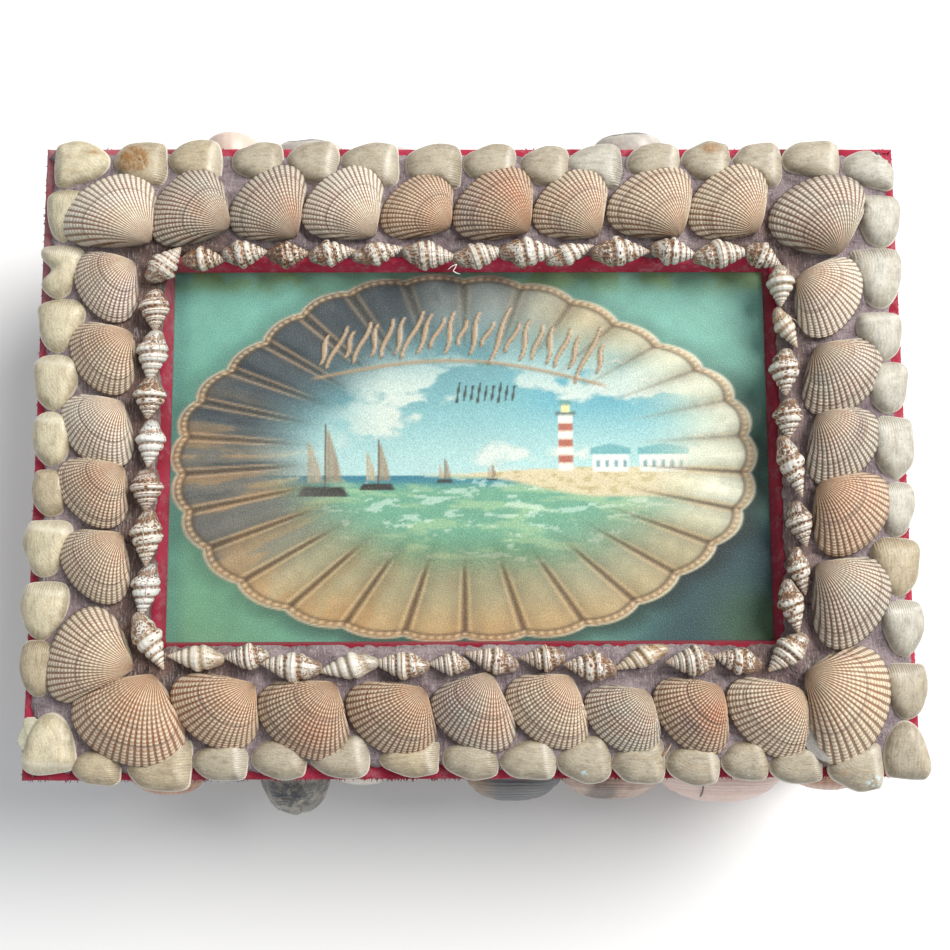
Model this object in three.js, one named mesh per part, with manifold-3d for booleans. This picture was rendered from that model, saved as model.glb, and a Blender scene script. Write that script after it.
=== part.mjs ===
// Shell box: a board tray and a lift-off lid, both set with sea shells in putty.
// Millimetres, +Z up. The origin is the centre of the tray's underside, +X runs along the long side
// and -Y is the front. The lid rests on the tray and has no hinge.
import * as THREE from 'three';
import { mergeVertices } from 'three/addons/utils/BufferGeometryUtils.js';
import Module from 'manifold-3d';

const wasm = await Module();
wasm.setup();
const { Manifold, Mesh: SolidMesh } = wasm;

// ---------------------------------------------------------------- driving dimensions
const GAP = 0.3;                                    // clearance kept between neighbouring solids
const TRAY = { w: 186, d: 134, h: 52, wall: 3 };    // the box carcass, outside sizes
const LID = { w: 192, d: 140, t: 3, step: 3, play: 0.6 };
const FRAME_T = 4;                                  // board that carries the window
const WINDOW = { w: 132.6, d: 82.6, x: -0.4, y: 0.5 };
const CARD = { w: 131.8, d: 81.8, t: 0.5 };
const BED_T = 1.4;                                  // putty bed on the lid
const COAT_T = 2;                                   // putty coat on the walls
const WEDGE_H = 3.9;                                // how high the shells stand
const ARK_H = 7.4;

const LID_Z = TRAY.h + GAP;
const FRAME_Z = LID_Z + LID.t + GAP;
const BED_Z = FRAME_Z + FRAME_T + GAP;
const SHELL_Z = BED_Z + BED_T + GAP;                // plane that the lid's shells stand on

// ---------------------------------------------------------------- shells, by their measured sizes
// ribbed ark shells: beak x, y; direction the fan opens to, deg; length; half spread, deg; skew
const ARKS = {
  back: [
    [-70.6, 46.8, 134, 19.0, 53, 0.23], [-53.3, 50.1, 150, 17.2, 54, 0.10], [-38.7, 47.9, 131, 16.7, 56, -0.06],
    [-21.3, 48.0, 131, 17.5, 54, 0.02], [-4.6, 50.0, 139, 15.0, 58, 0.14], [12.9, 49.0, 136, 17.1, 56, 0.09],
    [28.3, 48.0, 129, 16.4, 55, -0.03], [46.6, 48.0, 125, 17.5, 56, 0.07], [63.8, 48.8, 131, 16.7, 60, 0],
    [81.7, 43.6, 113, 18.7, 59, 0]],
  left: [
    [-74.0, 42.3, 216, 14.3, 60, 0.06], [-74.2, 26.6, 219, 14.7, 59, 0.06], [-75.8, 11.3, 227, 14.9, 62, 0.07],
    [-75.1, -3.0, 222, 14.8, 58, -0.03], [-75.0, -17.5, 227, 15.1, 57, 0.11], [-71.6, -46.1, 163, 18.3, 54, 0.08]],
  front: [
    [-67.3, -47.3, 245, 19.8, 61, -0.03], [-46.1, -49.5, 223, 16.5, 58, -0.21], [-29.0, -49.2, 233, 17.4, 58, -0.07],
    [-9.9, -50.6, 229, 16.4, 61, -0.17], [3.7, -47.1, 246, 16.5, 55, 0.09], [21.0, -48.0, 235, 15.7, 60, 0.03],
    [37.4, -51.3, 230, 14.3, 61, -0.06], [52.6, -50.1, 225, 15.4, 59, 0.03], [70.2, -51.1, 223, 16.3, 61, -0.09],
    [70.6, -47.4, 330, 19.7, 63, -0.17]],
  right: [
    [71.9, 38.9, 330, 15.2, 64, -0.04], [75.4, 23.2, 313, 16.0, 64, -0.04], [75.3, 8.3, 313, 15.7, 61, -0.12],
    [74.9, -7.1, 319, 16.8, 59, -0.04], [73.9, -24.4, 317, 18.2, 55, -0.14]],
};
// smooth wedge shells: centre x, y; direction of the broad end, deg; length; width; side of the rounded edge
const WEDGES = {
  back: [
    [-86.9, 65.1, 180, 12.7, 11.2, -1], [-74.1, 65.3, 0, 12.3, 10.7, 1], [-61.8, 65.8, 0, 11.9, 10.7, 1],
    [-47.8, 65.5, 0, 11.7, 10.0, 1], [-35.5, 65.5, 0, 12.1, 10.5, 1], [-22.7, 65.0, 0, 13.5, 11.0, 1],
    [-8.5, 64.7, 0, 13.0, 11.5, 1], [4.3, 64.7, 0, 12.6, 10.5, 1], [16.5, 64.3, 0, 11.7, 10.5, 1],
    [27.7, 64.5, 0, 12.6, 11.0, 1], [41.0, 64.9, 0, 12.6, 10.8, 1], [52.9, 65.3, 0, 11.5, 10.8, 1],
    [64.3, 65.0, 0, 11.3, 11.0, 1], [76.6, 65.9, 0, 13.3, 10.1, 1], [89.3, 63.9, 0, 12.2, 9.8, 1]],
  left: [
    [-89.2, 53.2, 90, 12.7, 10.7, 1], [-90.9, 40.4, 90, 12.3, 10.4, 1], [-90.2, 28.1, 90, 12.4, 10.8, 1],
    [-90.7, 15.5, 90, 12.7, 10.5, 1], [-90.8, 3.0, 90, 12.3, 9.8, 1], [-90.6, -8.7, 90, 10.7, 9.5, 1],
    [-91.2, -20.6, 90, 12.5, 11.0, 1], [-91.3, -34.1, 90, 12.4, 10.9, 1], [-91.8, -46.3, 90, 12.2, 9.3, 1]],
  front: [
    [-89.6, -61.9, 272, 13.1, 11.6, 1], [-79.3, -66.5, 0, 10.7, 8.5, -1], [-66.1, -66.2, 0, 13.9, 11.8, -1],
    [-53.3, -65.5, 0, 11.8, 9.1, -1], [-41.0, -64.8, 0, 12.3, 9.7, -1], [-28.2, -64.7, 0, 13.3, 9.3, -1],
    [-13.5, -64.9, 0, 13.1, 8.7, -1], [-0.5, -65.0, 0, 12.5, 9.8, -1], [11.5, -65.4, 0, 12.3, 9.1, -1],
    [23.5, -65.4, 0, 11.7, 10.4, -1], [35.0, -65.9, 0, 11.5, 10.4, -1], [46.6, -66.3, 0, 11.7, 9.8, -1],
    [57.6, -65.7, 0, 10.2, 9.4, -1], [68.4, -66.5, 0, 11.9, 9.1, -1], [81.1, -67.3, 0, 12.1, 10.6, -1],
    [92.5, -64.1, 268, 12.5, 10.5, -1]],
  right: [
    [91.0, 52.0, 90, 12.5, 11.0, -1], [90.1, 38.8, 90, 14.0, 12.1, -1], [90.3, 25.7, 90, 11.3, 10.5, -1],
    [91.0, 14.1, 90, 11.9, 10.6, -1], [91.8, 0.8, 90, 14.2, 10.8, -1], [91.7, -12.8, 90, 12.2, 9.2, -1],
    [91.4, -25.4, 90, 13.0, 11.3, -1], [92.3, -38.4, 90, 12.2, 9.9, -1], [92.3, -51.7, 90, 12.2, 10.3, -1]],
};
// snails: centre x, y; direction of the spire, deg; length; width
const SNAILS = {
  back: [
    [-67.8, 42.1, 44, 10.6, 6.2], [-59.1, 43.8, 359, 9.8, 5.6], [-50.1, 44.6, 5, 10.5, 6.1], [-40.4, 44.4, 3, 9.6, 5.8],
    [-30.8, 44.7, 6, 10.9, 5.8], [-20.5, 44.8, 11, 12.2, 5.2], [-9.2, 44.1, 356, 12.5, 6.5], [2.0, 44.2, 11, 12.7, 5.8],
    [12.9, 44.8, 2, 13.8, 6.7], [22.0, 44.7, 19, 11.8, 4.8], [33.2, 44.9, 1, 13.4, 6.6], [45.2, 44.9, 351, 10.9, 6.1],
    [55.9, 44.4, 5, 13.5, 6.3], [65.0, 43.8, 332, 9.4, 5.8]],
  left: [
    [-69.8, 31.6, 272, 9.7, 6.5], [-70.0, 21.4, 265, 11.9, 6.7], [-70.3, 11.9, 265, 9.4, 6.9], [-69.9, 2.0, 265, 10.6, 6.2],
    [-70.4, -8.3, 269, 9.2, 6.9], [-70.1, -18.6, 270, 12.3, 6.9], [-70.1, -29.7, 262, 11.7, 6.1], [-68.9, -40.6, 298, 13.7, 6.2]],
  front: [
    [-59.0, -44.1, 176, 12.4, 5.6], [-48.3, -43.9, 181, 10.2, 5.6], [-38.9, -46.0, 172, 13.8, 6.3], [-26.5, -46.1, 190, 13.2, 5.7],
    [-15.3, -45.8, 174, 12.4, 5.9], [-5.0, -45.6, 180, 9.0, 5.1], [4.1, -44.8, 166, 12.1, 5.7], [15.0, -44.5, 179, 10.1, 5.6],
    [25.1, -46.2, 176, 11.6, 6.5], [36.0, -44.5, 203, 12.8, 4.6], [46.5, -45.2, 182, 10.7, 6.6], [56.6, -45.1, 168, 11.0, 5.7],
    [67.3, -43.6, 223, 11.6, 6.3]],
  right: [
    [68.7, 37.0, 268, 9.6, 6.1], [69.7, 27.6, 298, 10.3, 4.5], [68.9, 17.5, 270, 10.8, 6.6], [69.3, 7.2, 269, 9.3, 6.3],
    [69.9, -3.3, 286, 14.4, 5.6], [71.2, -16.0, 283, 10.5, 5.7], [70.8, -26.2, 282, 10.8, 4.8], [68.8, -33.7, 282, 12.1, 5.6]],
};
// half shells on the walls, upper row: place along the wall (+ is to the right, seen from outside); width; height; depth; lean, deg
const UPPER_Z = 35;
const UPPER = {
  front: [
    [-84.5, 16, 26, 3.2, 6], [-69.5, 19, 27, 5.2, -5], [-54.5, 17, 27, 3.2, 4], [-40, 19, 27, 10.4, 0], [-26, 16, 28, 5.0, -6],
    [-10, 21, 28, 3.6, 3], [9.5, 23, 31, 9.4, 0], [32, 26, 28, 7.6, -4], [54.5, 26, 28, 8.0, 3], [77.5, 26, 27, 5.4, -3]],
  back: [
    [-81, 22, 28, 5.2, 4], [-61, 22, 27, 5.6, -4], [-41, 22, 29, 6.8, 2], [-22, 20, 27, 5.0, -5], [-3, 22, 29, 5.6, 3],
    [17, 22, 28, 5.2, -2], [38, 24, 29, 6.0, 4], [58, 20, 28, 7.4, -3], [78, 24, 28, 5.6, 2]],
  left: [[-54, 21, 28, 6.4, 3], [-35, 21, 29, 6.0, -4], [-16, 21, 28, 6.8, 2], [3, 21, 29, 6.2, -3], [22, 21, 28, 6.6, 4], [44, 26, 29, 6.0, 0]],
  right: [[-50, 24, 29, 6.2, -2], [-28, 24, 28, 6.6, 4], [-7, 22, 29, 6.0, -3], [13, 22, 28, 6.8, 3], [34, 24, 29, 6.2, -4], [54, 20, 28, 6.0, 2]],
};
const LOWER = { z: 10.6, w: 17.6, h: 16.2, depth: 5.2, count: { front: 11, back: 11, left: 8, right: 8 } };

// ---------------------------------------------------------------- solids from geometry
function solid(geometry) {
  let g = geometry.index ? geometry.toNonIndexed() : geometry.clone();
  for (const name of Object.keys(g.attributes)) if (name !== 'position') g.deleteAttribute(name);
  g = mergeVertices(g, 1e-4);
  const p = g.attributes.position, index = g.index.array, tri = [];
  for (let i = 0; i < index.length; i += 3) {
    const [a, b, c] = [index[i], index[i + 1], index[i + 2]];
    if (a !== b && b !== c && c !== a) tri.push(a, b, c);
  }
  return new Manifold(new SolidMesh({ numProp: 3, vertProperties: new Float32Array(p.array), triVerts: new Uint32Array(tri) }));
}

function geometryOf(body) {
  const mesh = body.getMesh();
  let position = mesh.vertProperties;
  if (mesh.numProp !== 3) {
    const count = mesh.vertProperties.length / mesh.numProp;
    position = new Float32Array(count * 3);
    for (let i = 0; i < count; i++) for (let k = 0; k < 3; k++) position[3 * i + k] = mesh.vertProperties[mesh.numProp * i + k];
  }
  const g = new THREE.BufferGeometry();
  g.setAttribute('position', new THREE.BufferAttribute(new Float32Array(position), 3));
  g.setIndex(new THREE.BufferAttribute(new Uint32Array(mesh.triVerts), 1));
  return keepLargest(g);
}

// a cut can leave a loose sliver beside the body: only the largest connected body stays
function keepLargest(g) {
  const index = g.index.array, p = g.attributes.position, parent = Array.from({ length: p.count }, (_, i) => i);
  const root = (i) => { while (parent[i] !== i) { parent[i] = parent[parent[i]]; i = parent[i]; } return i; };
  for (let i = 0; i < index.length; i += 3) {
    parent[root(index[i])] = root(index[i + 1]);
    parent[root(index[i + 1])] = root(index[i + 2]);
  }
  const volume = new Map(), a = new THREE.Vector3(), b = new THREE.Vector3(), c = new THREE.Vector3();
  for (let i = 0; i < index.length; i += 3) {
    a.fromBufferAttribute(p, index[i]); b.fromBufferAttribute(p, index[i + 1]); c.fromBufferAttribute(p, index[i + 2]);
    const r = root(index[i]);
    volume.set(r, (volume.get(r) ?? 0) + a.dot(b.cross(c)) / 6);
  }

  const best = [...volume.entries()].sort((x, y) => y[1] - x[1])[0][0];
  const kept = [];
  for (let i = 0; i < index.length; i += 3) if (root(index[i]) === best) kept.push(index[i], index[i + 1], index[i + 2]);
  let out = g.clone();
  out.setIndex(kept);
  out = out.toNonIndexed();
  out = mergeVertices(out, 1e-5);
  return out;
}

// a closed dome over a flat outline: rings of the outline shrink towards the crown while they rise
function dome(outline, crown, height, rings = [1, 0.76, 0.42], power = 2.3, round = 0.72) {
  const n = outline.length, xyz = [], tri = [];
  for (const f of rings) {
    const z = f >= 1 ? 0 : height * Math.pow(1 - Math.pow(f, power), round);
    for (const [x, y] of outline) xyz.push(crown[0] + (x - crown[0]) * f, crown[1] + (y - crown[1]) * f, z);
  }
  const top = xyz.length / 3;
  xyz.push(crown[0], crown[1], height);
  for (let r = 0; r + 1 < rings.length; r++)
    for (let i = 0; i < n; i++) {
      const j = (i + 1) % n, a = r * n + i, b = r * n + j, c = a + n, d = b + n;
      tri.push(a, b, d, a, d, c);
    }
  const last = (rings.length - 1) * n;
  for (let i = 0; i < n; i++) tri.push(last + i, last + ((i + 1) % n), top);
  const shape = THREE.ShapeUtils.triangulateShape(outline.map(([x, y]) => new THREE.Vector2(x, y)), []);
  for (const [a, b, c] of shape) tri.push(a, c, b);
  const g = new THREE.BufferGeometry();
  g.setAttribute('position', new THREE.BufferAttribute(new Float32Array(xyz), 3));
  g.setIndex(tri);
  return g;
}

const rad = THREE.MathUtils.degToRad;
const grown = (outline, crown, f) => outline.map(([x, y]) => [crown[0] + (x - crown[0]) * f, crown[1] + (y - crown[1]) * f]);

// fan-shaped outline of an ark shell, seen from above, with its beak at 0, 0 and opening along +X
function arkOutline(length, spread, skew) {
  const points = [[-0.02 * length, 0]];
  for (const t of [-0.96, -0.82, -0.55, -0.2, 0.15, 0.48, 0.78, 0.95]) {
    const r = length * (1 + skew * t) * Math.pow(1 - Math.pow(Math.abs(t), 5), 1 / 2.4);
    points.push([r * Math.cos(t * rad(spread)), r * Math.sin(t * rad(spread))]);
  }
  return points;
}

// wedge shell outline: a cut-off broad end at +X, a narrow end at -X, the long rounded edge at +Y
function wedgeOutline(length, width, side) {
  const half = [[-1, 0.3], [-0.62, 0.86], [0.5, 1], [1, 0.42], [0.95, -0.5], [0.62, -0.95], [-0.6, -0.55]];
  const points = half.map(([u, v]) => [u * length / 2, v * side * width / 2]);
  return side > 0 ? points.reverse() : points;
}

// half shell on a wall: an oval, a little pointed at the beak below
function valveOutline(width, height, n = 8) {
  const points = [];
  for (let i = 0; i < n; i++) {
    const a = (i / n) * Math.PI * 2, s = Math.sin(a);
    points.push([Math.cos(a) * width / 2 * (1 + 0.12 * s), s * height / 2]);
  }
  return points;
}

function snailBody(length, width, grow = 0) {
  const r = width / 2 + grow, l = length + 2 * grow;
  const profile = [[0, -0.5], [0.62, -0.5], [1, -0.16], [0.46, 0.28], [0, 0.5]];
  const g = new THREE.LatheGeometry(profile.map(([q, h]) => new THREE.Vector2(q * r, h * l)), SNAIL_SIDES, Math.PI / 6);
  g.rotateZ(-Math.PI / 2);
  return g;
}

const SNAIL_SIDES = 6;
const onLid = (g, x, y, angle, z = SHELL_Z) => g.rotateZ(rad(angle)).translate(x, y, z);

const arkCrown = (length) => [length * 0.47, 0];
function ark([x, y, angle, length, spread, skew], i) {
  const height = ARK_H * (length / 16.5) * (0.96 + 0.02 * (i % 5));
  return solid(onLid(dome(arkOutline(length, spread, skew), arkCrown(length), height), x, y, angle));
}

// the room an ark shell takes, straight up and down, for trimming what is tucked beside it
function arkRoom([x, y, angle, length, spread, skew]) {
  const outline = grown(arkOutline(length, spread, skew), arkCrown(length), 1.05);
  const shape = new THREE.Shape(outline.map(([u, v]) => new THREE.Vector2(u, v)));
  const g = new THREE.ExtrudeGeometry(shape, { depth: 14, bevelEnabled: false });
  return solid(onLid(g, x, y, angle, SHELL_Z - 2));
}

function wedge([x, y, angle, length, width, side], stretch = 1, grow = 0) {
  const outline = wedgeOutline(length * stretch + 2 * grow, width + 2 * grow, side);
  return solid(onLid(dome(outline, [0.08 * length, 0], WEDGE_H + grow, [1, 0.68], 2.2, 0.6), x, y, angle, SHELL_Z - (grow ? 0.001 : 0)));
}

function snail([x, y, angle, length, width], stretch = 1, grow = 0) {
  const along = Math.round(angle / 90) * 90;
  return solid(onLid(snailBody(length * stretch, width, grow), x, y, along + (angle - along) * 0.55, SHELL_Z + width / 2 * Math.cos(Math.PI / 6)));
}

// the shells of one row touch end to end: each reaches into its neighbour by the lap
function closed(rows, lap) {
  const out = rows.map((row) => [...row]);
  for (let i = 0; i + 1 < rows.length; i++) {
    const a = rows[i], b = rows[i + 1];
    const dx = b[0] - a[0], dy = b[1] - a[1], apart = Math.hypot(dx, dy);
    const reach = (row) => {
      const turn = Math.abs(Math.cos(Math.atan2(dy, dx) - rad(row[2])));
      return (row[3] * turn + row[4] * (1 - turn)) / 2;
    };
    const need = apart - reach(a) - reach(b) + lap;
    if (need <= 0) continue;
    for (const [row, sign] of [[out[i], 1], [out[i + 1], -1]]) {
      row[3] += need / 2;
      row[0] += sign * (dx / apart) * need / 4;
      row[1] += sign * (dy / apart) * need / 4;
    }
  }
  return out;
}

const joined = (bodies) => bodies.reduce((a, b) => a.add(b));
const cut = (body, tools) => tools.reduce((a, b) => a.subtract(b), body);

// ---------------------------------------------------------------- materials
const material = (color, roughness = 0.75) => new THREE.MeshStandardMaterial({ color, roughness, metalness: 0 });
const MAT = {
  red: material('#9c2740', 0.85), card: material('#7fa795', 0.5), putty: material('#927a80', 0.95),
  ark: material('#c79f84', 0.55), wedge: material('#cfc2a2', 0.35), snail: material('#cdbfae', 0.4),
  valve: material('#a58d84', 0.5), lower: material('#bd9a80', 0.6),
};
const box = new THREE.Group();
const put = (name, geometry, mat) => {
  const mesh = new THREE.Mesh(geometry, mat);
  mesh.name = name;
  box.add(mesh);
  return mesh;
};

// ---------------------------------------------------------------- boards
function block(w, d, h, x = 0, y = 0, z = 0) {
  return solid(new THREE.BoxGeometry(w, d, h).translate(x, y, z + h / 2));
}
put('tray', geometryOf(block(TRAY.w, TRAY.d, TRAY.h).subtract(block(TRAY.w - 2 * TRAY.wall, TRAY.d - 2 * TRAY.wall, TRAY.h, 0, 0, TRAY.wall))), MAT.red);
const stepW = TRAY.w - 2 * TRAY.wall - 2 * LID.play, stepD = TRAY.d - 2 * TRAY.wall - 2 * LID.play;
put('lid_board', geometryOf(block(LID.w, LID.d, LID.t, 0, 0, LID_Z).add(block(stepW, stepD, LID.step + 1, 0, 0, LID_Z - LID.step))), MAT.red);
put('window_frame', geometryOf(block(LID.w, LID.d, FRAME_T, 0, 0, FRAME_Z)
  .subtract(block(WINDOW.w, WINDOW.d, FRAME_T * 3, WINDOW.x, WINDOW.y, FRAME_Z - FRAME_T))), MAT.red);
put('picture_card', geometryOf(block(CARD.w, CARD.d, CARD.t, WINDOW.x, WINDOW.y, FRAME_Z)), MAT.card);
put('lid_putty', geometryOf(block(LID.w - 3, LID.d - 3, BED_T, 0, 0, BED_Z)
  .subtract(block(WINDOW.w + 3.2, WINDOW.d + 3.2, BED_T * 3, WINDOW.x, WINDOW.y, BED_Z - BED_T))), MAT.putty);

// ---------------------------------------------------------------- shells on the lid
const SIDES = ['back', 'left', 'front', 'right'];
const arkRows = SIDES.flatMap((side) => ARKS[side].map((row, i) => ({ name: `ark_shell_${side}_${String(i + 1).padStart(2, '0')}`, row, i })));
const arkSolids = arkRows.map(({ row, i }) => ark(row, i));
const arkTools = arkRows.map(({ row }) => arkRoom(row));
const near = (a, b, reach) => Math.hypot(a[0] - b[0], a[1] - b[1]) < reach;
arkRows.forEach(({ name, row }, k) => {
  let body = arkSolids[k];
  arkRows.forEach((other, m) => { if (m > k && near(row, other.row, 34)) body = body.subtract(arkTools[m]); });
  put(name, geometryOf(body), MAT.ark);
});

const rowBodies = (rows, make, stretch) => joined(rows.map((row) => make(row, stretch)));
const nearArks = (rows) => arkTools.filter((_, k) => rows.some((row) => near(row, arkRows[k].row, 30)));
const WEDGE_STRETCH = 1, SNAIL_STRETCH = 1;
for (const side of SIDES) { WEDGES[side] = closed(WEDGES[side], 1.3); SNAILS[side] = closed(SNAILS[side], 1.6); }
for (const side of SIDES) {
  const rows = WEDGES[side];
  let body = rowBodies(rows, wedge, WEDGE_STRETCH);
  if (side === 'left' || side === 'right') {
    const ends = [...WEDGES.back, ...WEDGES.front].filter((w) => rows.some((row) => near(row, w, 17)));
    body = cut(body, ends.map((w) => wedge(w, WEDGE_STRETCH, 0.34)));
  }
  put(`wedge_shells_${side}`, geometryOf(cut(body, nearArks(rows))), MAT.wedge);
}
for (const side of SIDES) {
  const rows = SNAILS[side];
  let body = rowBodies(rows, snail, SNAIL_STRETCH);
  if (side === 'left' || side === 'right') {
    const ends = [...SNAILS.back, ...SNAILS.front].filter((w) => rows.some((row) => near(row, w, 17)));
    body = cut(body, ends.map((w) => snail(w, SNAIL_STRETCH, 0.34)));
  }
  put(`snails_${side}`, geometryOf(cut(body, nearArks(rows))), MAT.snail);
}

// ---------------------------------------------------------------- walls: putty coats and their shells
// each wall's frame: local X along the wall to the right as seen from outside, local Y up, local Z outwards
const WALL = {
  front: { turn: 0, off: TRAY.d / 2, run: TRAY.w }, right: { turn: 90, off: TRAY.w / 2, run: TRAY.d },
  back: { turn: 180, off: TRAY.d / 2, run: TRAY.w }, left: { turn: 270, off: TRAY.w / 2, run: TRAY.d },
};
const onWall = (g, side, s, z, out) => g.rotateX(Math.PI / 2).translate(s, -(WALL[side].off + out), z).rotateZ(rad(WALL[side].turn));
for (const side of Object.keys(WALL)) {
  const { run } = WALL[side];
  const coat = new THREE.BoxGeometry(run - 1.2, TRAY.h - 3, COAT_T).translate(0, 0, COAT_T / 2);
  put(`wall_putty_${side}`, onWall(coat, side, 0, TRAY.h / 2, GAP), MAT.putty);
  const out = GAP + COAT_T + GAP;
  const upper = UPPER[side].map(([s, w, h, depth, lean]) =>
    solid(onWall(dome(valveOutline(w, h), [0, -0.06 * h], depth, [1, 0.7]).rotateZ(rad(lean)), side, s, UPPER_Z, out)));
  put(`wall_shells_upper_${side}`, geometryOf(joined(upper)), MAT.valve);
  const n = LOWER.count[side], pitch = (run - LOWER.w + 0.6) / (n - 1);
  const lower = Array.from({ length: n }, (_, i) =>
    solid(onWall(dome(valveOutline(LOWER.w + (i % 2) * 0.6, LOWER.h, 6), [0, -1], LOWER.depth, [1, 0.68]), side, (i - (n - 1) / 2) * pitch, LOWER.z, out)));
  put(`wall_shells_lower_${side}`, geometryOf(joined(lower)), MAT.lower);
}

export default box;
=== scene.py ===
"""Looks for the shell box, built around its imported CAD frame. Tables are in millimetres."""
import math

import bpy
import numpy as np
from mathutils import Euler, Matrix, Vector


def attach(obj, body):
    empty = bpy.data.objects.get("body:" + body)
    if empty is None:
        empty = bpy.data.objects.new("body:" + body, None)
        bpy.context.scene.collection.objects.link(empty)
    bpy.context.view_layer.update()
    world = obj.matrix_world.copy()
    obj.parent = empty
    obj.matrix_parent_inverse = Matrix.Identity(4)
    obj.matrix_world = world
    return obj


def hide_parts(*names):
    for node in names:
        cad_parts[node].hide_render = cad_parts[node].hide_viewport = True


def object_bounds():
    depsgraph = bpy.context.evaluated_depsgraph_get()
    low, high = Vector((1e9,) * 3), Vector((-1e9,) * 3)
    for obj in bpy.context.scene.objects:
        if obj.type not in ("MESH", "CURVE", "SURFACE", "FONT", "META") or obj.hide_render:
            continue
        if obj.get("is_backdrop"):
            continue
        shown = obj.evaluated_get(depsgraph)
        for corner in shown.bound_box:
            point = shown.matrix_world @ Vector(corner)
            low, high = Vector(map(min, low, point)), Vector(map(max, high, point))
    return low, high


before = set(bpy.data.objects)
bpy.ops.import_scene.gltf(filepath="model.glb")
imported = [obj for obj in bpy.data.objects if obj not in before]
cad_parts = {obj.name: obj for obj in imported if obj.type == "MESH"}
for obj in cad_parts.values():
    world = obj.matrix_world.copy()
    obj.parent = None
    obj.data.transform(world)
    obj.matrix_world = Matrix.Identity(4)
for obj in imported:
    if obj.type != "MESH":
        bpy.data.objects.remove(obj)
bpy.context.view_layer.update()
scene = bpy.context.scene
SIDES = ("back", "left", "front", "right")

# ------------------------------------------------------------------ sizes shared with the CAD part
TRAY_W, TRAY_D, TRAY_H = 186.0, 134.0, 52.0
LID_W, LID_D = 192.0, 140.0
FRAME_Z0, FRAME_Z1 = 55.6, 59.6
WIN_W, WIN_D, WIN_X, WIN_Y = 132.6, 82.6, -0.4, 0.5
CARD_TUCK = 0.8                                    # the card's edges run under the frame's paper
CARD_W, CARD_D, CARD_TOP = 131.8, 81.8, 56.1
BED_TOP = 61.3
SHELL_Z = 61.6

# ark shells: beak x, y; fan direction; length; half spread; skew
ARKS = {
    "back": [
        (-70.6, 46.8, 134, 19.0, 53, 0.23), (-53.3, 50.1, 150, 17.2, 54, 0.10), (-38.7, 47.9, 131, 16.7, 56, -0.06),
        (-21.3, 48.0, 131, 17.5, 54, 0.02), (-4.6, 50.0, 139, 15.0, 58, 0.14), (12.9, 49.0, 136, 17.1, 56, 0.09),
        (28.3, 48.0, 129, 16.4, 55, -0.03), (46.6, 48.0, 125, 17.5, 56, 0.07), (63.8, 48.8, 131, 16.7, 60, 0.0),
        (81.7, 43.6, 113, 18.7, 59, 0.0)],
    "left": [
        (-74.0, 42.3, 216, 14.3, 60, 0.06), (-74.2, 26.6, 219, 14.7, 59, 0.06), (-75.8, 11.3, 227, 14.9, 62, 0.07),
        (-75.1, -3.0, 222, 14.8, 58, -0.03), (-75.0, -17.5, 227, 15.1, 57, 0.11), (-71.6, -46.1, 163, 18.3, 54, 0.08)],
    "front": [
        (-67.3, -47.3, 245, 19.8, 61, -0.03), (-46.1, -49.5, 223, 16.5, 58, -0.21), (-29.0, -49.2, 233, 17.4, 58, -0.07),
        (-9.9, -50.6, 229, 16.4, 61, -0.17), (3.7, -47.1, 246, 16.5, 55, 0.09), (21.0, -48.0, 235, 15.7, 60, 0.03),
        (37.4, -51.3, 230, 14.3, 61, -0.06), (52.6, -50.1, 225, 15.4, 59, 0.03), (70.2, -51.1, 223, 16.3, 61, -0.09),
        (70.6, -47.4, 330, 19.7, 63, -0.17)],
    "right": [
        (71.9, 38.9, 330, 15.2, 64, -0.04), (75.4, 23.2, 313, 16.0, 64, -0.04), (75.3, 8.3, 313, 15.7, 61, -0.12),
        (74.9, -7.1, 319, 16.8, 59, -0.04), (73.9, -24.4, 317, 18.2, 55, -0.14)],
}
# ark shells come in five plain colours: rib, groove
ARK_KINDS = {
    "ivory": "F0E4D0 B09C86", "sand": "E0CCB0 A08870", "rosy": "D8BC9C A07C60", "grey": "D0C4B0 8C7C6C", "tan": "CCB090 88705C",
}
ARK_TINTS = {
    "back": "ivory grey grey ivory rosy tan sand sand sand grey".split(),
    "left": "ivory sand ivory sand sand sand".split(),
    "front": "rosy rosy tan tan grey sand grey tan sand sand".split(),
    "right": "ivory grey grey rosy grey".split(),
}
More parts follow.
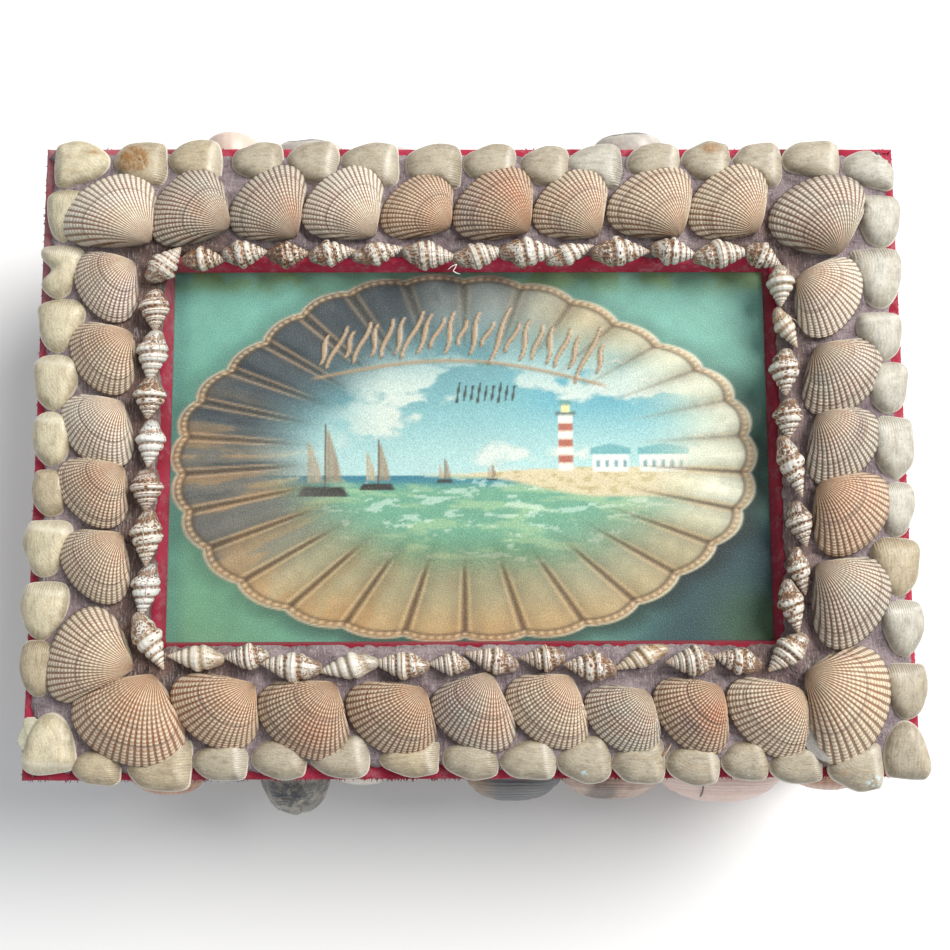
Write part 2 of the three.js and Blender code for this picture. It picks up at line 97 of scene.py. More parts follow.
# stains and flushes on single ark shells; the grey and violet-grey marks near the margins on the left and lower left
# are dirt and painted shade together: index, colour, place along the shell (0 margin, 1 beak), place across (-1 to 1),
# reach along, reach across, strength
ARK_STAINS_AND_SHADE = {
    "back": [(2, "DB8A58", 0.62, -0.45, 0.28, 0.45, 0.45), (5, "D47A42", 0.55, -0.35, 0.42, 0.40, 0.62), (5, "A8A3A6", 0.16, 0.45, 0.16, 0.40, 0.5),
             (6, "D39A74", 0.5, -0.2, 0.35, 0.5, 0.3), (1, "C48A66", 0.55, 0.1, 0.2, 0.3, 0.35), (0, "B9B6A2", 0.12, 0.6, 0.2, 0.4, 0.4)],
    "left": [(0, "D39C6B", 0.45, -0.25, 0.3, 0.45, 0.45), (0, "D9CDD0", 0.4, 0.75, 0.4, 0.30, 0.5), (3, "CF9062", 0.5, -0.1, 0.35, 0.5, 0.45),
             (1, "CDA17C", 0.5, -0.2, 0.3, 0.5, 0.35)],
    "front": [(2, "CC7A50", 0.28, 0.25, 0.22, 0.38, 0.6), (4, "9A8A92", 0.3, -0.45, 0.3, 0.35, 0.5), (4, "D89A68", 0.4, 0.5, 0.3, 0.35, 0.45),
              (7, "D2713E", 0.52, 0.35, 0.28, 0.45, 0.6), (7, "5B5560", 0.26, 0.05, 0.10, 0.30, 0.6), (9, "DDBE8C", 0.3, 0.1, 0.3, 0.6, 0.45),
              (0, "D9AE7F", 0.6, 0.0, 0.3, 0.4, 0.25)],
    "right": [(0, "CFA276", 0.5, 0.1, 0.4, 0.5, 0.35), (2, "4E5560", 0.33, 0.35, 0.05, 0.42, 0.8), (2, "6A6A70", 0.42, 0.3, 0.06, 0.3, 0.4),
              (3, "CE9A7A", 0.5, 0.1, 0.35, 0.6, 0.4)],
}
# wedge shells: centre x, y; direction of the broad end; length; width; side of the rounded edge
WEDGES = {
    "back": [
        (-86.9, 65.1, 180, 12.7, 11.2, -1), (-74.1, 65.3, 0, 12.3, 10.7, 1), (-61.8, 65.8, 0, 11.9, 10.7, 1),
        (-47.8, 65.5, 0, 11.7, 10.0, 1), (-35.5, 65.5, 0, 12.1, 10.5, 1), (-22.7, 65.0, 0, 13.5, 11.0, 1),
        (-8.5, 64.7, 0, 13.0, 11.5, 1), (4.3, 64.7, 0, 12.6, 10.5, 1), (16.5, 64.3, 0, 11.7, 10.5, 1),
        (27.7, 64.5, 0, 12.6, 11.0, 1), (41.0, 64.9, 0, 12.6, 10.8, 1), (52.9, 65.3, 0, 11.5, 10.8, 1),
        (64.3, 65.0, 0, 11.3, 11.0, 1), (76.6, 65.9, 0, 13.3, 10.1, 1), (89.3, 63.9, 0, 12.2, 9.8, 1)],
    "left": [
        (-89.2, 53.2, 90, 12.7, 10.7, 1), (-90.9, 40.4, 90, 12.3, 10.4, 1), (-90.2, 28.1, 90, 12.4, 10.8, 1),
        (-90.7, 15.5, 90, 12.7, 10.5, 1), (-90.8, 3.0, 90, 12.3, 9.8, 1), (-90.6, -8.7, 90, 10.7, 9.5, 1),
        (-91.2, -20.6, 90, 12.5, 11.0, 1), (-91.3, -34.1, 90, 12.4, 10.9, 1), (-91.8, -46.3, 90, 12.2, 9.3, 1)],
    "front": [
        (-89.6, -61.9, 272, 13.1, 11.6, 1), (-79.3, -66.5, 0, 10.7, 8.5, -1), (-66.1, -66.2, 0, 13.9, 11.8, -1),
        (-53.3, -65.5, 0, 11.8, 9.1, -1), (-41.0, -64.8, 0, 12.3, 9.7, -1), (-28.2, -64.7, 0, 13.3, 9.3, -1),
        (-13.5, -64.9, 0, 13.1, 8.7, -1), (-0.5, -65.0, 0, 12.5, 9.8, -1), (11.5, -65.4, 0, 12.3, 9.1, -1),
        (23.5, -65.4, 0, 11.7, 10.4, -1), (35.0, -65.9, 0, 11.5, 10.4, -1), (46.6, -66.3, 0, 11.7, 9.8, -1),
        (57.6, -65.7, 0, 10.2, 9.4, -1), (68.4, -66.5, 0, 11.9, 9.1, -1), (81.1, -67.3, 0, 12.1, 10.6, -1),
        (92.5, -64.1, 268, 12.5, 10.5, -1)],
    "right": [
        (91.0, 52.0, 90, 12.5, 11.0, -1), (90.1, 38.8, 90, 14.0, 12.1, -1), (90.3, 25.7, 90, 11.3, 10.5, -1),
        (91.0, 14.1, 90, 11.9, 10.6, -1), (91.8, 0.8, 90, 14.2, 10.8, -1), (91.7, -12.8, 90, 12.2, 9.2, -1),
        (91.4, -25.4, 90, 13.0, 11.3, -1), (92.3, -38.4, 90, 12.2, 9.9, -1), (92.3, -51.7, 90, 12.2, 10.3, -1)],
}
# wedge shells come in four plain colours: body, keel
WEDGE_KINDS = {
    "bone": "D8CEB0 A89C80", "stone": "BCB29C 948672", "pearl": "CAC6B8 A0988A", "sand": "C4B698 988870",
}
WEDGE_TINTS = {
    "back": "bone sand sand stone stone stone stone stone stone pearl stone stone stone stone pearl",
    "left": "bone bone bone bone bone sand bone bone sand",
    "front": "bone sand sand stone stone stone sand stone stone stone stone stone stone stone stone stone",
    "right": "pearl pearl pearl pearl pearl pearl sand pearl stone",
}
# snails: centre x, y; spire direction; length; width
SNAILS = {
    "back": [
        (-67.8, 42.1, 49, 10.6, 6.2), (-59.1, 43.4, 359, 10.2, 5.4), (-50.1, 44.6, 5, 10.5, 6.1), (-40.4, 44.4, 3, 9.6, 5.8),
        (-30.8, 44.7, 6, 10.9, 5.8), (-20.5, 44.8, 11, 12.2, 5.2), (-9.2, 44.1, 356, 12.5, 6.5), (2.0, 44.2, 11, 12.7, 5.8),
        (12.9, 44.8, 2, 13.8, 6.7), (22.0, 44.7, 19, 11.8, 4.8), (33.2, 44.9, 1, 13.4, 6.6), (45.2, 44.9, 351, 10.9, 6.1),
        (55.9, 44.4, 5, 13.5, 6.3), (65.0, 43.8, 332, 9.4, 5.8)],
    "left": [
        (-69.8, 31.6, 272, 9.7, 6.5), (-70.0, 21.4, 265, 11.9, 6.7), (-70.3, 11.9, 265, 9.4, 6.9), (-69.9, 2.0, 265, 10.6, 6.2),
        (-70.4, -8.3, 269, 9.2, 6.9), (-70.1, -18.6, 270, 12.3, 6.9), (-70.1, -29.7, 262, 11.7, 6.1), (-68.9, -40.6, 298, 13.7, 6.2)],
    "front": [
        (-59.0, -44.1, 176, 12.4, 5.6), (-48.3, -43.9, 181, 10.2, 5.6), (-38.9, -46.0, 172, 13.8, 6.3), (-26.5, -46.1, 190, 13.2, 5.7),
        (-15.3, -45.8, 174, 12.4, 5.9), (-5.0, -45.6, 180, 9.0, 5.1), (4.1, -44.8, 166, 12.1, 5.7), (15.0, -44.5, 179, 10.1, 5.6),
        (25.1, -46.2, 176, 11.6, 6.5), (36.0, -44.5, 203, 12.8, 4.6), (46.5, -45.2, 182, 10.7, 6.6), (56.6, -45.1, 168, 11.0, 5.7),
        (67.3, -43.6, 223, 11.6, 6.3)],
    "right": [
        (68.7, 37.0, 268, 9.6, 6.1), (69.7, 27.6, 298, 10.3, 4.5), (68.9, 17.5, 270, 10.8, 6.6), (69.3, 7.2, 269, 9.3, 6.3),
        (69.9, -3.3, 286, 14.4, 5.6), (71.2, -16.0, 283, 10.5, 5.7), (70.8, -26.2, 282, 10.8, 4.8), (68.8, -33.7, 282, 12.1, 5.6)],
}
SNAIL_TYPICAL = ("E6E2D6", "7A5C45", 0.50)        # ground, spots, how much is spotted
SNAIL_SPECIAL = {
    ("back", 0): ("ECE7D9", "8E7461", 0.45), ("back", 1): ("DED0BB", "68493B", 0.62), ("back", 3): ("D8CAB6", "583F34", 0.66),
    ("left", 0): ("EDE2D4", "745343", 0.60), ("left", 4): ("E1D5CB", "5E3C2D", 0.66), ("left", 3): ("F2F4F0", "978573", 0.24),
    ("left", 6): ("EEF0EC", "705C4F", 0.34), ("left", 1): ("F1F2EA", "8A6A50", 0.34), ("left", 7): ("ECE8DC", "7A6250", 0.34),
    ("front", 0): ("E1D6C0", "A58D74", 0.22), ("front", 3): ("DED6C6", "A99A86", 0.20), ("front", 9): ("DFCFB0", "A78768", 0.30),
    ("front", 6): ("DAD0C5", "694D45", 0.62), ("front", 7): ("D3C8BA", "62443A", 0.66), ("right", 0): ("E2DDCD", "A8977F", 0.22),
    ("right", 1): ("DFD0B6", "7C715F", 0.28), ("right", 5): ("D9D3C9", "583D34", 0.66),
}
UPPER_Z = 35.0
# half shells of the walls' upper row: place along the wall; width; height; depth; lean; kind
UPPER = {
    "front": [
        (-84, 16, 26, 4.2, 6, "pearl"), (-70.5, 19, 27, 7.2, -5, "rust"), (-57, 15, 27, 4.6, 4, "pearl"), (-41, 17, 27, 11.0, 0, "limpet"),
        (-26, 16, 28, 5.0, -6, "pale"), (-10, 21, 28, 3.6, 3, "pearl"), (9.5, 23, 31, 9.4, 0, "mussel"), (32, 26, 28, 8.8, -4, "brown"),
        (57, 31, 28, 9.6, 3, "tellin"), (82.5, 19, 27, 6.8, -3, "rust")],
    "back": [
        (-81, 22, 28, 5.2, 4, "clam"), (-61, 22, 27, 5.6, -4, "tellin"), (-38, 22, 29, 6.8, 2, "limpet"), (-20, 20, 27, 5.0, -5, "pale"),
        (-2, 22, 29, 5.6, 3, "clam"), (19, 22, 28, 5.2, -2, "pearl"), (39, 22, 29, 6.0, 4, "limpet"), (56, 16, 28, 7.4, -3, "clam"),
        (78, 24, 28, 5.6, 2, "clam")],
    "left": [(-54, 21, 28, 6.4, 3, "clam"), (-35, 21, 29, 6.0, -4, "pale"), (-16, 21, 28, 6.8, 2, "brown"), (3, 21, 29, 6.2, -3, "tellin"),
             (22, 21, 28, 6.6, 4, "rust"), (44, 26, 29, 6.0, 0, "clam")],
    "right": [(-50, 24, 29, 6.2, -2, "tellin"), (-28, 24, 28, 6.6, 4, "clam"), (-7, 22, 29, 6.0, -3, "brown"), (13, 22, 28, 6.8, 3, "pale"),
              (34, 24, 29, 6.2, -4, "clam"), (54, 20, 28, 6.0, 2, "rust")],
}
# shells set with their upper margin off the wall: how far out, how much higher
STAND_OFF = {("back", 7): (7.2, 2.4), ("back", 6): (5.6, 1.5), ("back", 2): (7.0, 1.6), ("back", 5): (4.4, 1.0)}
# main colour, second colour, concentric bands, radial ribs, mottling, roughness is shared
KINDS = {
    "clam": ("D2B19C", "A67E67", 0.50, 0.12, 0.18), "tellin": ("ECD3C6", "D9A898", 0.45, 0.05, 0.08),
    "brown": ("CDB09A", "8A6450", 0.50, 0.16, 0.40), "pale": ("E6DED2", "C8BAA8", 0.40, 0.20, 0.15),
    "rust": ("CE9A70", "9A5630", 0.50, 0.55, 0.25), "pearl": ("B9B7B8", "7C828C", 0.45, 0.15, 0.25),
    "limpet": ("2F3840", "958F80", 0.28, 0.0, 0.80), "mussel": ("221B18", "5A6470", 0.38, 0.02, 0.22),
    "ribbed": ("D6B79B", "8F6C55", 0.35, 0.80, 0.15),
}
LOWER = {"z": 10.6, "w": 17.6, "h": 16.2, "depth": 5.2, "count": {"front": 11, "back": 11, "left": 8, "right": 8}}


# ------------------------------------------------------------------ small maths
def lin(c):
    c = np.asarray(c, float)
    return np.where(c <= 0.04045, c / 12.92, ((np.clip(c, 0, None) + 0.055) / 1.055) ** 2.4)


def rgb(h):
    """sRGB hex as linear red, green, blue."""
    return lin([int(h[i:i + 2], 16) / 255 for i in (0, 2, 4)])


def col(h):
    return (*[float(v) for v in rgb(h)], 1.0)


def step(a, b, x):
    t = np.clip((np.asarray(x, float) - a) / (b - a), 0, 1)
    return t * t * (3 - 2 * t)


def lattice(i, j, seed):
    n = (i * 374761393 + j * 668265263 + seed * 974711) & 0xFFFFFFFF
    n = ((n ^ (n >> 13)) * 1274126177) & 0xFFFFFFFF
    return ((n ^ (n >> 16)) & 0xFFFF) / 32767.5 - 1


def noise(x, y, seed=0):
    """Smooth value noise, -1 to 1, with cells one unit wide."""
    x, y = np.broadcast_arrays(np.asarray(x, float), np.asarray(y, float))
    i, j = np.floor(x).astype(np.int64), np.floor(y).astype(np.int64)
    u, v = x - i, y - j
    u, v = u * u * (3 - 2 * u), v * v * (3 - 2 * v)
    a, b = lattice(i, j, seed), lattice(i + 1, j, seed)
    c, d = lattice(i, j + 1, seed), lattice(i + 1, j + 1, seed)
    return (a * (1 - u) + b * u) * (1 - v) + (c * (1 - u) + d * u) * v


def fbm(x, y, seed=0, octaves=4):
    total, amp = 0.0, 0.5
    for k in range(octaves):
        total = total + amp * noise(np.asarray(x) * 2 ** k + 7.3 * k, np.asarray(y) * 2 ** k - 3.1 * k, seed + k)
        amp *= 0.55
    return total


# ------------------------------------------------------------------ meshes
def quads_of(nr, nc, wrap_c=False, wrap_r=False, start=0):
    r = np.arange(nr if wrap_r else nr - 1)[:, None]
    c = np.arange(nc if wrap_c else nc - 1)[None, :]
    r2, c2 = (r + 1) % nr, (c + 1) % nc
    q = np.stack(np.broadcast_arrays(r * nc + c, r * nc + c2, r2 * nc + c2, r2 * nc + c), -1)
    return q.reshape(-1, 4) + start


def volume(v, quads, tris):
    t = np.concatenate([quads[:, [0, 1, 2]], quads[:, [0, 2, 3]], tris]) if len(quads) else tris
    a, b, c = v[t[:, 0]], v[t[:, 1]], v[t[:, 2]]
    return float(np.einsum("ij,ij->i", a, np.cross(b, c)).sum() / 6)


class Build:
    """Collects closed shells of points and faces into one mesh."""

    def __init__(self):
        self.v, self.q, self.t, self.qm, self.tm, self.at, self.n = [], [], [], [], [], {}, 0

    def add(self, v, quads=None, tris=None, slot=0, **attrs):
        v = np.asarray(v, float)
        quads = np.zeros((0, 4), int) if quads is None else np.asarray(quads, int)
        tris = np.zeros((0, 3), int) if tris is None else np.asarray(tris, int)
        centre = v.mean(0)
        if volume(v - centre, quads, tris) < 0:
            quads, tris = quads[:, ::-1], tris[:, ::-1]
        self.v.append(v)
        self.q.append(quads + self.n)
        self.t.append(tris + self.n)
        self.qm.append(np.full(len(quads), slot))
        self.tm.append(np.full(len(tris), slot))
        for k, a in attrs.items():
            a = np.asarray(a, float)
            if a.ndim == 1 and len(a) == 3 and len(v) != 3:
                a = np.tile(a, (len(v), 1))
            elif a.ndim == 0:
                a = np.full(len(v), float(a))
            self.at.setdefault(k, []).append(a)
        self.n += len(v)

    def make(self, name, mats, replaces=()):
        v = np.concatenate(self.v)
        q, t = np.concatenate(self.q), np.concatenate(self.t)
        me = bpy.data.meshes.new(name)
        me.vertices.add(len(v))
        me.loops.add(4 * len(q) + 3 * len(t))
        me.polygons.add(len(q) + len(t))
        me.vertices.foreach_set("co", (v * 0.001).astype(np.float32).ravel())
        me.loops.foreach_set("vertex_index", np.concatenate([q.ravel(), t.ravel()]).astype(np.int32))
        starts = np.concatenate([np.arange(len(q)) * 4, 4 * len(q) + np.arange(len(t)) * 3])
        me.polygons.foreach_set("loop_start", starts.astype(np.int32))
        me.polygons.foreach_set("material_index", np.concatenate(self.qm + self.tm).astype(np.int32))
        me.update(calc_edges=True)
        for k, parts in self.at.items():
            a = np.concatenate(parts)
            if a.ndim == 1:
                me.attributes.new(k, "FLOAT", "POINT").data.foreach_set("value", a.astype(np.float32))
            elif k.startswith("c_"):
                four = np.concatenate([a, np.ones((len(a), 1))], 1)
                me.attributes.new(k, "FLOAT_COLOR", "POINT").data.foreach_set("color", four.astype(np.float32).ravel())
            else:
                me.attributes.new(k, "FLOAT_VECTOR", "POINT").data.foreach_set("vector", a.astype(np.float32).ravel())
        me.shade_smooth()
        for m in mats if isinstance(mats, (list, tuple)) else [mats]:
            me.materials.append(m)
        ob = bpy.data.objects.new(name, me)
        scene.collection.objects.link(ob)
        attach(ob, "root")
        if replaces:
            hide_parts(*replaces)
        COUNT[name] = 2 * len(q) + len(t)
        return ob


COUNT = {}


# ------------------------------------------------------------------ material nodes
class Mat:
    """A node tree written as expressions: arguments are sockets or constants."""

    def __init__(self, name):
        self.mat = bpy.data.materials.new(name)
        self.mat.use_nodes = True
        self.tree = self.mat.node_tree
        self.tree.nodes.clear()

    def node(self, kind, **props):
        n = self.tree.nodes.new(kind)
        for k, v in props.items():
            setattr(n, k, v)
        return n

    def put(self, socket, value):
        if isinstance(value, bpy.types.NodeSocket):
            self.tree.links.new(value, socket)
        elif value is not None:
            if hasattr(socket.default_value, "__len__") and not hasattr(value, "__len__"):
                socket.default_value = [value] * len(socket.default_value)
            else:
                socket.default_value = value

    def math(self, op, a, b=None, c=None, clamp=False):
        n = self.node("ShaderNodeMath", operation=op, use_clamp=clamp)
        for s, v in zip(n.inputs, (a, b, c)):
            self.put(s, v)
        return n.outputs[0]

    def add(self, a, b):
        return self.math("ADD", a, b)

    def sub(self, a, b):
        return self.math("SUBTRACT", a, b)

    def mul(self, a, b):
        return self.math("MULTIPLY", a, b)

    def fit(self, x, a, b, lo=0.0, hi=1.0):
        n = self.node("ShaderNodeMapRange", interpolation_type="SMOOTHSTEP")
        for s, v in zip(n.inputs[:5], (x, a, b, lo, hi)):
            self.put(s, v)
        return n.outputs[0]

    def mix(self, f, a, b, blend="MIX"):
        n = self.node("ShaderNodeMix", data_type="RGBA", blend_type=blend)
        self.put(n.inputs[0], f)
        self.put(n.inputs[6], a)
        self.put(n.inputs[7], b)
        return n.outputs[2]

    def scale(self, colour, f):
        """Colour times a number."""
        n = self.node("ShaderNodeVectorMath", operation="SCALE")
        self.put(n.inputs[0], colour)
        self.put(n.inputs["Scale"], f)
        return n.outputs[0]

    def attr(self, name, out="Vector"):
        n = self.node("ShaderNodeAttribute", attribute_type="GEOMETRY", attribute_name=name)
        return n.outputs[out]

    def xyz(self, v):
        n = self.node("ShaderNodeSeparateXYZ")
        self.put(n.inputs[0], v)
        return n.outputs[0], n.outputs[1], n.outputs[2]

    def vec(self, x, y, z):
        n = self.node("ShaderNodeCombineXYZ")
        for s, v in zip(n.inputs, (x, y, z)):
            self.put(s, v)
        return n.outputs[0]

    def place(self, scale=(1, 1, 1), turn=0.0):
        """Object position, in metres, stretched."""
        n = self.node("ShaderNodeMapping")
        self.put(n.inputs["Vector"], self.node("ShaderNodeTexCoord").outputs["Object"])
        n.inputs["Scale"].default_value = scale
        n.inputs["Rotation"].default_value = (0, 0, turn)
        return n.outputs[0]

    def noise(self, scale, detail=2.0, vector=None, rough=0.5, distortion=0.0):
        n = self.node("ShaderNodeTexNoise")
        self.put(n.inputs["Vector"], vector if vector is not None else self.place())
        n.inputs["Scale"].default_value = scale
        n.inputs["Detail"].default_value = detail
        n.inputs["Roughness"].default_value = rough
        n.inputs["Distortion"].default_value = distortion
        return n.outputs["Fac"]

    def cells(self, scale, vector, out="Distance", randomness=1.0):
        n = self.node("ShaderNodeTexVoronoi")
        self.put(n.inputs["Vector"], vector)
        n.inputs["Scale"].default_value = scale
        n.inputs["Randomness"].default_value = randomness
        return n.outputs[out]

    def wave(self, x):
        """1 at whole numbers of x, 0 halfway between."""
        return self.math("MULTIPLY_ADD", self.math("COSINE", self.mul(x, 2 * math.pi)), 0.5, 0.5)

    def bump(self, height, distance, strength=1.0, normal=None):
        n = self.node("ShaderNodeBump")
        n.inputs["Distance"].default_value = distance
        n.inputs["Strength"].default_value = strength
        self.put(n.inputs["Height"], height)
        self.put(n.inputs["Normal"], normal)
        return n.outputs[0]

    def finish(self, colour, rough, normal=None, **fixed):
        b = self.node("ShaderNodeBsdfPrincipled")
        self.put(b.inputs["Base Color"], colour)
        self.put(b.inputs["Roughness"], rough)
        if normal is not None:
            self.put(b.inputs["Normal"], normal)
        for k, v in fixed.items():
            b.inputs[k.replace("_", " ")].default_value = v
        out = self.node("ShaderNodeOutputMaterial")
        self.tree.links.new(b.outputs[0], out.inputs[0])
        return self.mat


def shell_material(name, bead=1.0, gloss=0.0):
    """Ribbed shell: cream ribs with beads where the growth lines cross, red-brown grooves."""
    m = Mat(name)
    x, y, f = m.xyz(m.attr("ribg"))
    hi, lo = m.attr("c_hi", "Color"), m.attr("c_lo", "Color")
    seed = m.attr("seed", "Fac")
    fine = m.noise(2600, 3)
    soft = m.noise(420, 3)
    drift = m.noise(1.0, 2, m.vec(m.mul(x, 0.35), m.mul(y, 0.6), seed))
    rib = m.wave(m.math("MULTIPLY_ADD", m.sub(m.noise(1.0, 2, m.vec(x, m.mul(y, 0.5), seed)), 0.5), 0.22, x))
    rib = m.sub(rib, m.fit(f, 0.65, 0.15, 0.0, 0.30))
    ribs = m.fit(m.math("MULTIPLY_ADD", m.sub(fine, 0.5), 0.26, rib), 0.12, 0.50)
    lines = m.wave(m.math("MULTIPLY_ADD", drift, 0.9, y))
    lines = m.mix(m.fit(f, 0.16, 0.50), (0.58, 0.58, 0.58, 1), lines)
    band = m.noise(1.0, 3, m.vec(m.mul(y, 0.42), seed, 0.0), rough=0.6)
    zone = m.noise(1.0, 2, m.vec(m.mul(x, 0.12), m.mul(y, 0.10), m.add(seed, 3.0)), rough=0.5)
    beads = m.mul(ribs, m.fit(lines, 0.25, 0.85))
    bright = m.scale(hi, m.fit(band, 0.3, 0.7, 0.92, 1.05))
    ruddy = m.mul(m.fit(zone, 0.32, 0.62), m.mul(m.fit(f, 1.0, 0.72, 0.35, 1.0), 0.62))
    dark = m.mix(ruddy, m.scale(lo, 0.88), m.mix(0.22, col("98512F"), lo))
    c = m.mix(ribs, dark, bright)
    c = m.mix(m.mul(m.fit(lines, 0.42, 0.0), 0.46 * bead), c, dark)
    c = m.mix(m.mul(beads, 0.30 * bead), c, col("FFF6E6"))
    c = m.mix(m.mul(m.fit(band, 0.58, 0.70), 0.42), c, m.mix(0.5, lo, col("8C6A58")))
    arrest = m.wave(m.add(m.math("MULTIPLY_ADD", drift, 0.12, m.mul(f, 2.7)), m.mul(seed, 0.37)))
    arrest = m.mul(m.fit(arrest, 0.955, 0.995), m.fit(f, 0.42, 0.56))
    c = m.mix(m.mul(arrest, 0.38), c, col("7C655A"))
    c = m.scale(c, m.fit(fine, 0.25, 0.75, 0.93, 1.05))
    height = m.math("MULTIPLY_ADD", lines, 0.45 * bead, m.mul(ribs, 0.5))
    height = m.math("MULTIPLY_ADD", arrest, -0.5, height)
    height = m.math("MULTIPLY_ADD", fine, 0.22, height)
    rough = m.fit(soft, 0.3, 0.7, 0.48 - gloss, 0.64 - gloss)
    return m.finish(c, rough, m.bump(height, 0.00024, 0.9), Specular_IOR_Level=0.40)


def wedge_material():
    """Smooth cream shell: tan speckle and streaks, painted shade towards the rim, a comb of fine ribs at the broad end,
    a painted highlight along the keel and a pale rim.
    """
    m = Mat("wedge_shell_cream")
    u, v, f = m.xyz(m.attr("wuv"))
    hi, lo = m.attr("c_hi", "Color"), m.attr("c_lo", "Color")
    seed, stain = m.attr("seed", "Fac"), m.attr("stain", "Fac")
    blue = m.attr("blue", "Fac")
    soft, fine = m.noise(330, 5, rough=0.68), m.noise(1700, 3)
    grit = m.noise(2300, 3, rough=0.7)
    du, dv = m.sub(u, 0.35), m.add(v, 0.85)
    dist = m.math("SQRT", m.add(m.mul(du, du), m.mul(dv, dv)))
    lines = m.wave(m.math("MULTIPLY_ADD", m.noise(1.0, 2, m.vec(m.mul(dist, 5.0), m.mul(v, 2.0), seed)), 1.9, m.mul(dist, 8.0)))
    zones = m.noise(1.0, 3, m.vec(m.mul(dist, 3.2), seed, 2.0), rough=0.6)
    fan = m.math("ARCTAN2", dv, du)
    comb = m.wave(m.mul(v, 10.0))
    streak = m.noise(1.0, 4, m.vec(m.mul(u, 2.2), m.mul(v, 8.0), seed), rough=0.75)
    end = m.mul(m.fit(u, 0.42, 0.80), m.fit(m.noise(1.0, 1, m.vec(m.mul(seed, 1.7), 0.5, 0.2)), 0.42, 0.60, 0.10, 1.0))
    # Mottling and streaks, with painted shade darkening each shell towards its rim, where it meets the putty.
    shade = m.math("MULTIPLY_ADD", m.sub(soft, 0.5), 1.3, m.fit(f, 0.55, 0.97, 0.38, 0.66))
    shade = m.math("MULTIPLY_ADD", m.sub(streak, 0.5), 1.5, shade)
    c = m.mix(m.fit(shade, 0.05, 1.05), hi, lo)
    c = m.mix(m.mul(m.fit(zones, 0.52, 0.66), 0.30), c, m.mix(0.5, lo, col("C9A876")))
    c = m.mix(m.mul(lines, 0.07), c, lo)
    c = m.mix(m.mul(m.mul(m.sub(1.0, comb), end), 0.50), c, m.scale(lo, 0.78))
    c = m.mix(m.mul(m.fit(grit, 0.56, 0.68), 0.55), c, m.scale(lo, 0.66))
    c = m.mix(m.mul(m.fit(grit, 0.42, 0.30), 0.30), c, col("F3ECDA"))
    # Painted highlight: on some shells, a pale streak along the keel and a lighter facet past it.
    past = m.sub(u, m.math("MULTIPLY_ADD", v, 0.12, 0.62))
    keel_highlight = m.mul(m.fit(m.math("ABSOLUTE", past), 0.15, 0.0), m.fit(streak, 0.40, 0.60, 0.25, 1.0))
    some = m.fit(m.math("SINE", m.mul(seed, 2.3)), -0.5, 0.5)
    c = m.mix(m.mul(m.mul(keel_highlight, some), 0.34), c, col("F6F3EA"))
    c = m.mix(m.mul(m.mul(m.fit(past, -0.05, 0.15), some), 0.16), c, col("F1EDE0"))
    c = m.mix(m.mul(m.fit(f, 0.935, 0.975), 0.50), c, col("EFEADB"))
    spots = m.fit(m.noise(520, 4, rough=0.7), 0.42, 0.60)
    c = m.mix(m.math("MULTIPLY", stain, m.fit(spots, 0.0, 1.0, 0.55, 1.0), clamp=True), c, m.mix(fine, col("7A5028"), col("B98A52")))
    c = m.mix(m.mul(blue, m.fit(m.noise(900, 2), 0.48, 0.56)), c, col("CFE6EE"))
    height = m.math("MULTIPLY_ADD", m.mul(comb, end), 0.6, m.mul(lines, 0.12))
    height = m.math("MULTIPLY_ADD", m.mul(grit, 0.30), 1.0, height)
    height = m.math("MULTIPLY_ADD", m.mul(stain, spots), 1.2, height)
    return m.finish(c, m.fit(soft, 0.3, 0.7, 0.36, 0.52), m.bump(height, 0.00018, 0.9), Specular_IOR_Level=0.42, Coat_Weight=0.04, Coat_Roughness=0.3)


